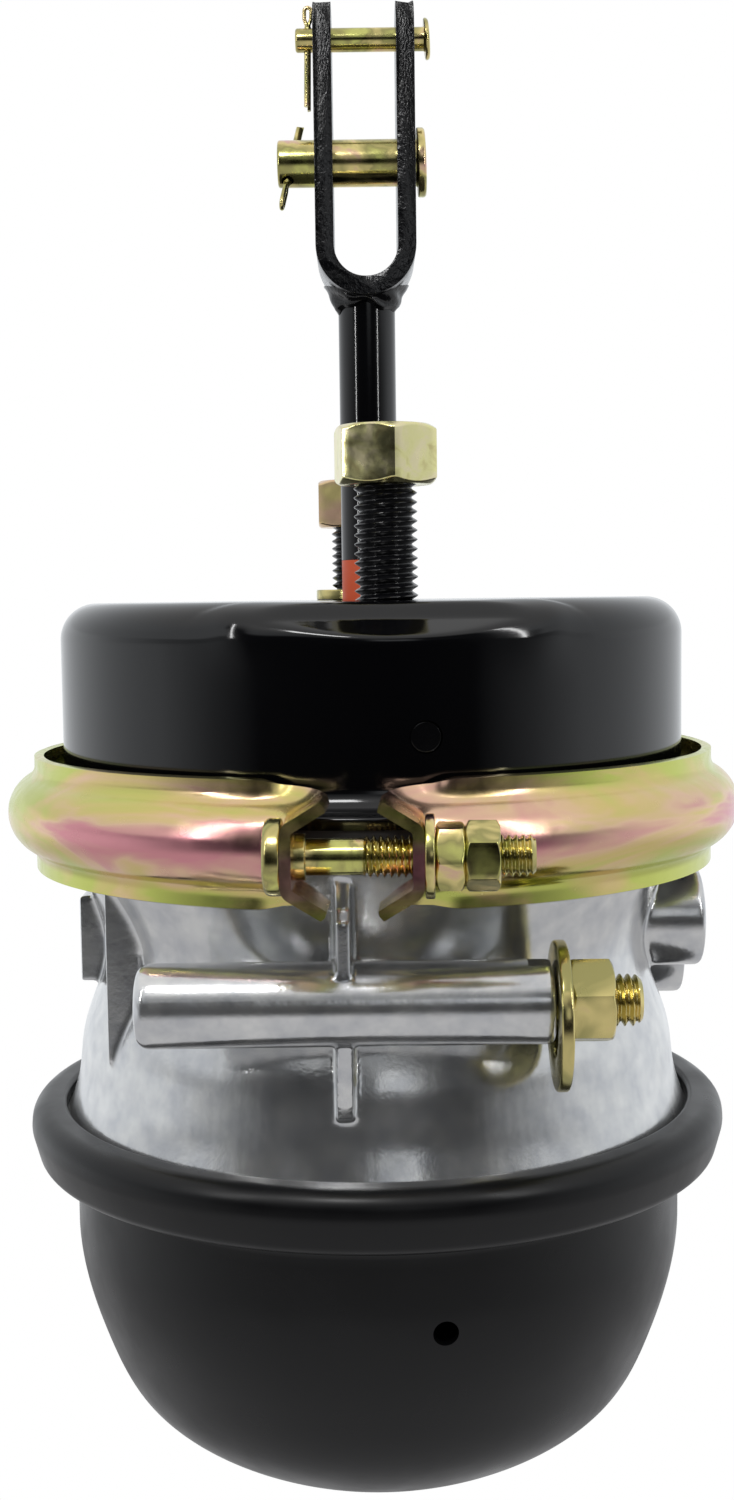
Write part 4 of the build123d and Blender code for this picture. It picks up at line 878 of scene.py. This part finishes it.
def band_path():
    """Crest of the half band at +X, from its front lug to the middle of its back.

    Each point is (x, y, out_x, out_y, share of the lug's section).
    """
    centre_x = LUG_FACE_X + BEND_RADIUS
    centre_y = -sqrt((BAND_RADIUS + BEND_RADIUS) ** 2 - centre_x ** 2)
    leave = degrees(atan2(centre_y, centre_x))
    path, run = [], 0
    for k in range(LUG_STEPS):
        y = LUG_END_Y + (centre_y - LUG_END_Y) * k / LUG_STEPS
        path.append((LUG_FACE_X, y, 1, 0))
    for k in range(BEND_STEPS + 1):
        a = radians(180 + leave * k / BEND_STEPS)
        path.append((centre_x + BEND_RADIUS * cos(a), centre_y + BEND_RADIUS * sin(a),
                     -cos(a), -sin(a)))
    for k in range(1, BAND_STEPS + 1):
        a = radians(leave * (1 - (k / BAND_STEPS) ** 1.25))
        path.append((BAND_RADIUS * cos(a), BAND_RADIUS * sin(a), cos(a), sin(a)))
    full = []
    for i, (x, y, out_x, out_y) in enumerate(path):
        if i:
            run += hypot(x - path[i - 1][0], y - path[i - 1][1])
        share = min(max((run - LUG_RUN) / LUG_FADE, 0), 1)
        full.append((x, y, out_x, out_y, 1 - share * share * (3 - 2 * share)))
    return full


def band_half(turn):
    bow, lug = band_sections()
    front = band_path()
    path = front + [(x, -y, out_x, -out_y, share) for x, y, out_x, out_y, share in front[-2::-1]]
    rows = []
    for x, y, out_x, out_y, share in path:
        section = bow * (1 - share) + lug * share
        rows.append([(x + out_x * out, y + out_y * out, JOINT_Z + z) for out, z in section])
    vertices, faces = grid(rows)
    columns = len(rows[0])
    faces.append(tuple(range(columns)))
    faces.append(tuple(range(len(vertices) - columns, len(vertices))))
    return placed((vertices, faces), about("Z", turn))


def make_band():
    hole = bar(BOLT_HOLE, -30, 30, 40)
    holes = [placed(hole, about("Z", BAND_TURN) @ at(0, side * BOLT_Y, JOINT_Z, X_AXIS))
             for side in (1, -1)]
    for name, turn in (("right", 0), ("left", 180)):
        piece = add_mesh("clamp_band_" + name, *band_half(BAND_TURN + turn), "clamp_zinc",
                         "chamber", ["clamp_half_" + name], 40)
        cut_away(piece, holes, 40)


def bolt_shell():
    """Clamp bolt along Z from the seat of its head at 0."""
    shank = spun([(0, -4.1), (8.8, -4.1, 1.6), (8.8, -0.05, 0.5), (5.3, -0.05), (5.3, 5.4, 0.3),
                  (4.2, 5.4, 0.2), (4.2, 18.4), (0, 18.4)], 12, 96, 2)
    return joined(shank, thread(BOLT_RADIUS, BOLT_PITCH, 17.6, 56.8, both_ends=True, columns=48))


def make_clamp_bolts():
    for name, turn in (("front", 0), ("rear", 180)):
        where = about("Z", BAND_TURN + turn)
        start = where @ at(-LUG_FACE_X, BOLT_Y, JOINT_Z, X_AXIS)
        add_mesh(name + "_clamp_bolt", *placed(bolt_shell(), start), "yellow_zinc", "chamber",
                 ["clamp_bolts"])
        line = where @ at(LUG_FACE_X, BOLT_Y, JOINT_Z, X_AXIS)
        ring = placed(washer(9.6, 5.1, 2.2, 0.5), line @ at(0, 0, FLAT_GAP))
        add_mesh(name + "_clamp_washer", *ring, "yellow_zinc", "chamber", ["clamp_washers"])
        line = line @ at(0, 0, CLAMP_NUT_SEAT)
        nut = placed(hex_nut(CLAMP_NUT_FLATS, 6.6, CLAMP_NUT_BORE, 0.12),
                     line @ at(0, 0, FLAT_GAP, about("Z", 35)))
        add_mesh(name + "_clamp_nut", *nut, "yellow_zinc", "chamber", ["clamp_nuts"])
        jam = placed(hex_nut(CLAMP_NUT_FLATS, 7.8, CLAMP_NUT_BORE, 0.12),
                     line @ at(0, 0, 6.7, about("Z", 1)))
        add_mesh(name + "_clamp_jam_nut", *jam, "yellow_zinc", "chamber", ["clamp_jam_nuts"])


# ---- adapter casting ----
TUBE_Y = -86.0
TUBE_Z = -96.6
TUBE_RADIUS = 10.3
TUBE_BORE = 8.4
TUBE_CLOSED_X = -57.9
TUBE_BORE_END_X = -51.9
TUBE_OPEN_X = 42.5
TUBE_WEB = (-53.9, TUBE_Y, TUBE_Z - 4), (40.5, TUBE_Y + 18, TUBE_Z + 4)
TUBE_SLOT = ((TUBE_OPEN_X - 6.3, TUBE_Y - 4, TUBE_Z), (TUBE_OPEN_X + 5, TUBE_Y + 4, TUBE_Z + 22))
RIB_X = -7.9
RIB_BACK = -66.0                # y of the ribs at the waist, and their half width there
RIB_ROOT = 2.7
RIB_FRONT = -93.7
RIB_EDGE = 1.7
SIDE_RIB = (-71, -47, -121), (-62, -42, -74)
BLANK_BOSS = (-83, -14, -106), (-70, 14, -82)
PORTS = (93.5, 0, -92, 72.5), (95.7, 45, -110, 56)      # x of the face, y, z and x of the root
BOSS_RADIUS = 14.2
PORT_BORE = 7.3
PORT_DEPTH = 15
DRILL_BORE = 4.5
DRILL_END_X = 62


def curve(points, start, end, steps=12):
    """Smooth line through (x, y) points, with given directions at its two ends."""
    places = [Vector(point) for point in points]
    slopes = [Vector(start)]
    for before, here, after in zip(places, places[1:], places[2:]):
        first, last = (here - before).length, (after - here).length
        slopes.append(((here - before) / first * last + (after - here) / last * first)
                      / (first + last))
    slopes.append(Vector(end))
    out = []
    for i in range(len(places) - 1):
        reach = (places[i + 1] - places[i]).length
        for k in range(steps):
            t = k / steps
            out.append(tuple(places[i] * (2 * t ** 3 - 3 * t ** 2 + 1)
                             + slopes[i] * reach * (t ** 3 - 2 * t ** 2 + t)
                             + places[i + 1] * (3 * t ** 2 - 2 * t ** 3)
                             + slopes[i + 1] * reach * (t ** 3 - t ** 2)))
    out.append(tuple(places[-1]))
    return out


def casting_ring():
    """Waisted body with its web and hub, turned about Z."""
    side = curve([(92.4, -63.8), (84.0, -74.0), (76.8, -95.0), (83.8, -121.0), (85.4, -133.0),
                  (88.4, -143.0)], (-0.75, -0.66), (0.3, -0.95))
    outline = [(83.0, -59.2), (96.4, -59.2), (96.4, -63.8)] + side
    outline += rounded([(88.6, -143), (95.2, -143), (95.2, -147.1), (82.6, -147.1), (77.8, -121),
                        (70.8, -93.85, 6), (25, -93.85), (25, -112), (19.11, -112),
                        (19.11, -85.85), (72.8, -85.85, 8), (83, -63.2), (83, -59.2)], 15,
                       closed=False)[1:-1]
    return turned(outline, 180)


def tapered_rib(corners):
    """Upright rib from (y, z) corners that gets thinner from the waist to its outer edge."""
    vertices = []
    for side in (-1, 1):
        for y, z in corners:
            half = RIB_ROOT + (RIB_EDGE - RIB_ROOT) * (y - RIB_BACK) / (RIB_FRONT - RIB_BACK)
            vertices.append((RIB_X + side * half, y, z))
    return np.array(vertices, float), prism_faces(len(corners))


def casting_shells():
    tube = spun([(0, TUBE_CLOSED_X), (TUBE_RADIUS, TUBE_CLOSED_X, 3.2),
                 (TUBE_RADIUS, TUBE_OPEN_X, 1.2), (0, TUBE_OPEN_X)], 15, 72)
    above = [(-84, -64.5), (-90.4, -64.5), (-90.9, -73.2), (RIB_FRONT, -75.5), (RIB_FRONT, -90.6),
             (TUBE_Y, TUBE_Z), (-74, TUBE_Z), (-74.5, -84)]
    below = [(RIB_BACK, TUBE_Z), (TUBE_Y, TUBE_Z), (-90, -106), (-86.9, -122), (-85.4, -125.4),
             (-82, -126.6), (-79.2, -126.6), (-79.2, TUBE_Z)]
    shells = [casting_ring(), placed(tube, at(0, TUBE_Y, TUBE_Z, X_AXIS)), box(*TUBE_WEB),
              tapered_rib(above), tapered_rib(below), box(*SIDE_RIB), box(*BLANK_BOSS)]
    for x, y, z, root in PORTS:
        boss = spun([(0, root), (BOSS_RADIUS, root), (BOSS_RADIUS, x, 1.5), (0, x)], 20, 64)
        shells.append(placed(boss, at(0, y, z, X_AXIS)))
    return shells


def casting_bores():
    bores = [placed(bar(TUBE_BORE, TUBE_BORE_END_X, 60, 48), at(0, TUBE_Y, TUBE_Z, X_AXIS)),
             box(*TUBE_SLOT)]
    for x, y, z, _ in PORTS:
        bores.append(placed(bar(PORT_BORE, x - PORT_DEPTH, x + 4, 48), at(0, y, z, X_AXIS)))
        bores.append(placed(bar(DRILL_BORE, DRILL_END_X, x, 32), at(0, y, z, X_AXIS)))
    return bores


def make_casting():
    piece = add_mesh("casting", *joined(*casting_shells()), "cast_aluminium", "chamber",
                     ["adapter_casting"], 30)
    remesh = piece.modifiers.new("skin", "REMESH")
    remesh.mode = "VOXEL"
    remesh.voxel_size = 0.7 * MM
    soften = piece.modifiers.new("soften", "SMOOTH")
    soften.factor = 0.5
    soften.iterations = 4
    apply_modifiers(piece)
    cut_away(piece, casting_bores(), 30)


# ---- spring housing ----
FOOT_HOLE = 12.0                # radius of the release hole at the dome's foot
FOOT_Z = -225.0                 # the dome is steep above it and flat below it
DOME_VENT_X = 16.0
DOME_VENT_Z = -179.7
DOME_VENT_RADIUS = 3.2


def dome_inside(r, z):
    """Point on the inside of the dome's wall opposite (r, z) on its outside."""
    return (r - 3.3, z + 1.6) if z > FOOT_Z else (max(r - 1.6, FOOT_HOLE), z + 3.2)


def make_dome():
    side = curve([(86.4, -174), (80.4, -203.1), (71.2, -222.3), (47.6, -239.6), (0, -247.9)],
                 (0, -1), (-1, 0), 20)
    crimp = rounded([(85.6, -147.0), (94.9, -147.0), (95.5, -146.0), (95.5, -142.9),
                     (89.0, -142.9, 0.4), (89.0, -139.5, 1.4), (98.3, -139.5, 5.2),
                     (98.9, -146.5, 6), (96.4, -155.6, 4), (88.9, -157.2, 2.0), (86.4, -158.5, 3),
                     (86.4, -174)], 8, closed=False)
    outline = refined(crimp, 2, closed=False)
    outline += [point for point in side[1:] if point[0] > FOOT_HOLE]
    outline += [(FOOT_HOLE, -247.75), (FOOT_HOLE, -244.4)]
    outline += [dome_inside(r, z) for r, z in reversed(side) if r > FOOT_HOLE + 2]
    outline += [(83, -158), (83, -152.4), (85.6, -150)]
    piece = add_mesh("dome", *turned(outline, 240), "satin_black_paint", "chamber",
                     ["spring_housing"], 50)
    hole = bar(DOME_VENT_RADIUS, 60, 110, 40)
    cut_away(piece, [placed(hole, at(DOME_VENT_X, 0, DOME_VENT_Z, about("X", 90)))], 50)


# ---- release bolt ----
RELEASE_RADIUS = 6.3
RELEASE_PITCH = INCH / 13
RELEASE_START = -48.9
RELEASE_END = 63.6
RELEASE_LUG = (7.6, 4, 7)       # half width, half depth and length


def make_release_bolt():
    line = at(0, TUBE_Y, TUBE_Z, X_AXIS)
    shank = bar(RELEASE_RADIUS, RELEASE_START, TUBE_OPEN_X - 4, 64)
    width, depth, length = RELEASE_LUG
    lug = box((-width, -depth, RELEASE_START), (width, depth, RELEASE_START + length))
    screw = thread(RELEASE_RADIUS, RELEASE_PITCH, TUBE_OPEN_X - 5, RELEASE_END, columns=64)
    add_mesh("release_stud", *placed(joined(shank, lug, screw), line), "release_zinc", "chamber",
             ["release_bolt"])
    nut = placed(hex_nut(19.0, 10.8, 5.75, 0.14), line @ at(0, 0, TUBE_OPEN_X + 3.3, about("Z", 12)))
    add_mesh("release_hex_nut", *nut, "release_zinc", "chamber", ["release_nut"])
    drop = at(TUBE_OPEN_X + 0.1, TUBE_Y, TUBE_Z - 3.6, about("Y", 90))
    add_mesh("release_wide_washer", *placed(washer(18.2, 10.0, 3.1, 0.8), drop), "release_zinc",
             "chamber", ["release_washer"])


# ---- springs and rubber inside ----
BEAD_THICKNESS = 5.8
RUBBER_THICKNESS = 3.0


def service_rubber(packed):
    """Rubber cup with a wall that tapers, so that it clears the casting when it rolls down."""
    places = [packed.matrix_world @ v.co / MM for v in packed.data.vertices]
    top = max(p.z for p in places)
    foot = min(p.z for p in places)
    rim = max(p.x for p in places)
    bead, inside = foot + BEAD_THICKNESS, top - RUBBER_THICKNESS
    outline = [(0, top), (70.5, top, 5), (83.0, bead, 1.5), (rim, bead), (rim, foot),
               (80.0, foot, 1.5), (67.8, inside, 4), (0, inside)]
    return spun(outline, 15, 120, 3)


def stretch(node, fixed, joint):
    """Copy of a soft node, or for the service diaphragm a new tapered cup, shown in its place; the
    power spring rides the chamber and the others ride no body. fixed and joint are not used.
    """
    packed = frame["nodes"][node]
    if node == "service_diaphragm":
        piece = add_object(node + "_flexing", clean_mesh(node, *service_rubber(packed)))
        piece.data.materials.append(FINISHES["rubber"])
    else:
        piece = add_object(node + "_flexing", packed.data.copy())
        piece.matrix_world = packed.matrix_world
    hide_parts(node)
    if node == "power_spring":
        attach(piece, "chamber")
        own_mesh(piece)
        return
    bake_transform(piece)


def make_flexing():
    for joint in frame["record"]["behaviour"]["joints"]:
        for soft in joint.get("deforming_nodes", ()):
            stretch(soft["node"], soft["fixed_end_z_m"], joint)


for make_piece in (make_housing, make_studs, make_rod, make_fork, make_weld, make_pins, make_band,
                   make_clamp_bolts, make_casting, make_dome, make_release_bolt, make_flexing):
    make_piece()


# ---- light ----
# brightness of the surroundings against the azimuth from the camera's side, in degrees, for
# rays that go down, nearly level, somewhat up and up
DOWN = [(-180, 1.0), (-120, 1.0), (-80, 0.8), (-58, 0.3), (-40, 0.03), (-10, 0.01), (8, 0.01),
        (36, 0.02), (58, 0.35), (80, 0.8), (120, 1.0), (180, 1.0)]
LEVEL = [(-180, 1.0), (-120, 1.0), (-90, 0.7), (-62, 0.3), (-44, 0.05), (-30, 0.02), (30, 0.02),
         (46, 0.08), (66, 0.4), (90, 0.9), (120, 1.0), (180, 1.0)]
LOW = [(-180, 0.9), (-90, 0.85), (-62, 0.85), (-55, 0.08), (-40, 0.03), (-8, 0.02), (-2, 0.06),
       (3, 0.8), (12, 0.8), (18, 0.07), (40, 0.05), (52, 0.3), (60, 0.8), (90, 0.9), (180, 0.9)]
UP = [(-180, 0.9), (-90, 0.9), (-66, 0.8), (-60, 0.06), (-40, 0.05), (-36, 0.7), (-25, 0.6),
      (-20, 0.3), (2, 0.35), (7, 0.06), (38, 0.04), (46, 0.5), (56, 0.9), (90, 0.9), (180, 0.9)]
TOP = (0.9, 0.9, 0.9, 1)        # straight up and straight down
FLOOR = (0.62, 0.62, 0.63, 1)
WHITE = (1, 1, 1, 1)
TINT = np.array((0.94, 0.97, 1.0))


def add_world():
    """White to the camera; to everything else a dark camera side with bright strips."""
    world = bpy.data.worlds.new("studio")
    world.use_nodes = True
    scene.world = world
    sky = Nodes(world.node_tree)
    parts = sky.node("ShaderNodeSeparateXYZ")
    sky.link(sky.node("ShaderNodeTexCoord").outputs["Generated"], parts.inputs["Vector"])
    azimuth = sky.maths("ARCTAN2", parts.outputs["X"], sky.maths("MULTIPLY", parts.outputs["Y"], -1))
    share = sky.span(azimuth, 0, 1, -pi, pi)
    rings = [sky.ramp(share, [((turn + 180) / 360, level * TINT) for turn, level in profile])
             for profile in (DOWN, LEVEL, LOW, UP)]
    shown = rings[0]
    for start, end, level in ((-0.01, 0.02, rings[1]), (0.14, 0.18, rings[2]),
                              (0.36, 0.44, rings[3]), (0.5, 0.75, TOP), (-0.18, -0.42, FLOOR)):
        shown = sky.mixed(sky.span(parts.outputs["Z"], 0, 1, start, end), shown, level)
    to_camera = sky.node("ShaderNodeLightPath").outputs["Is Camera Ray"]
    background = sky.tree.nodes["Background"]
    sky.link(sky.mixed(to_camera, shown, WHITE), background.inputs["Color"])
    background.inputs["Strength"].default_value = 1.0


def area_light(name, place, target, size, power):
    data = bpy.data.lights.new(name, "AREA")
    data.shape = "RECTANGLE"
    data.size, data.size_y = (side * MM for side in size)
    data.energy = power
    lamp = bpy.data.objects.new(name, data)
    scene.collection.objects.link(lamp)
    aim = (Vector(target) - Vector(place)).to_track_quat("-Z", "Y")
    lamp.matrix_world = Matrix.Translation(Vector(place) * MM) @ aim.to_matrix().to_4x4()


add_world()
area_light("left_strip", (-330, -300, 190), (0, 0, 190), (11, 330), 0.35)
area_light("right_strip", (300, -330, 190), (0, 0, 190), (9, 330), 0.3)
area_light("soft_box", (-120, -420, 430), (0, 0, -60), (150, 110), 0.9)
scene.view_settings.view_transform = "Standard"
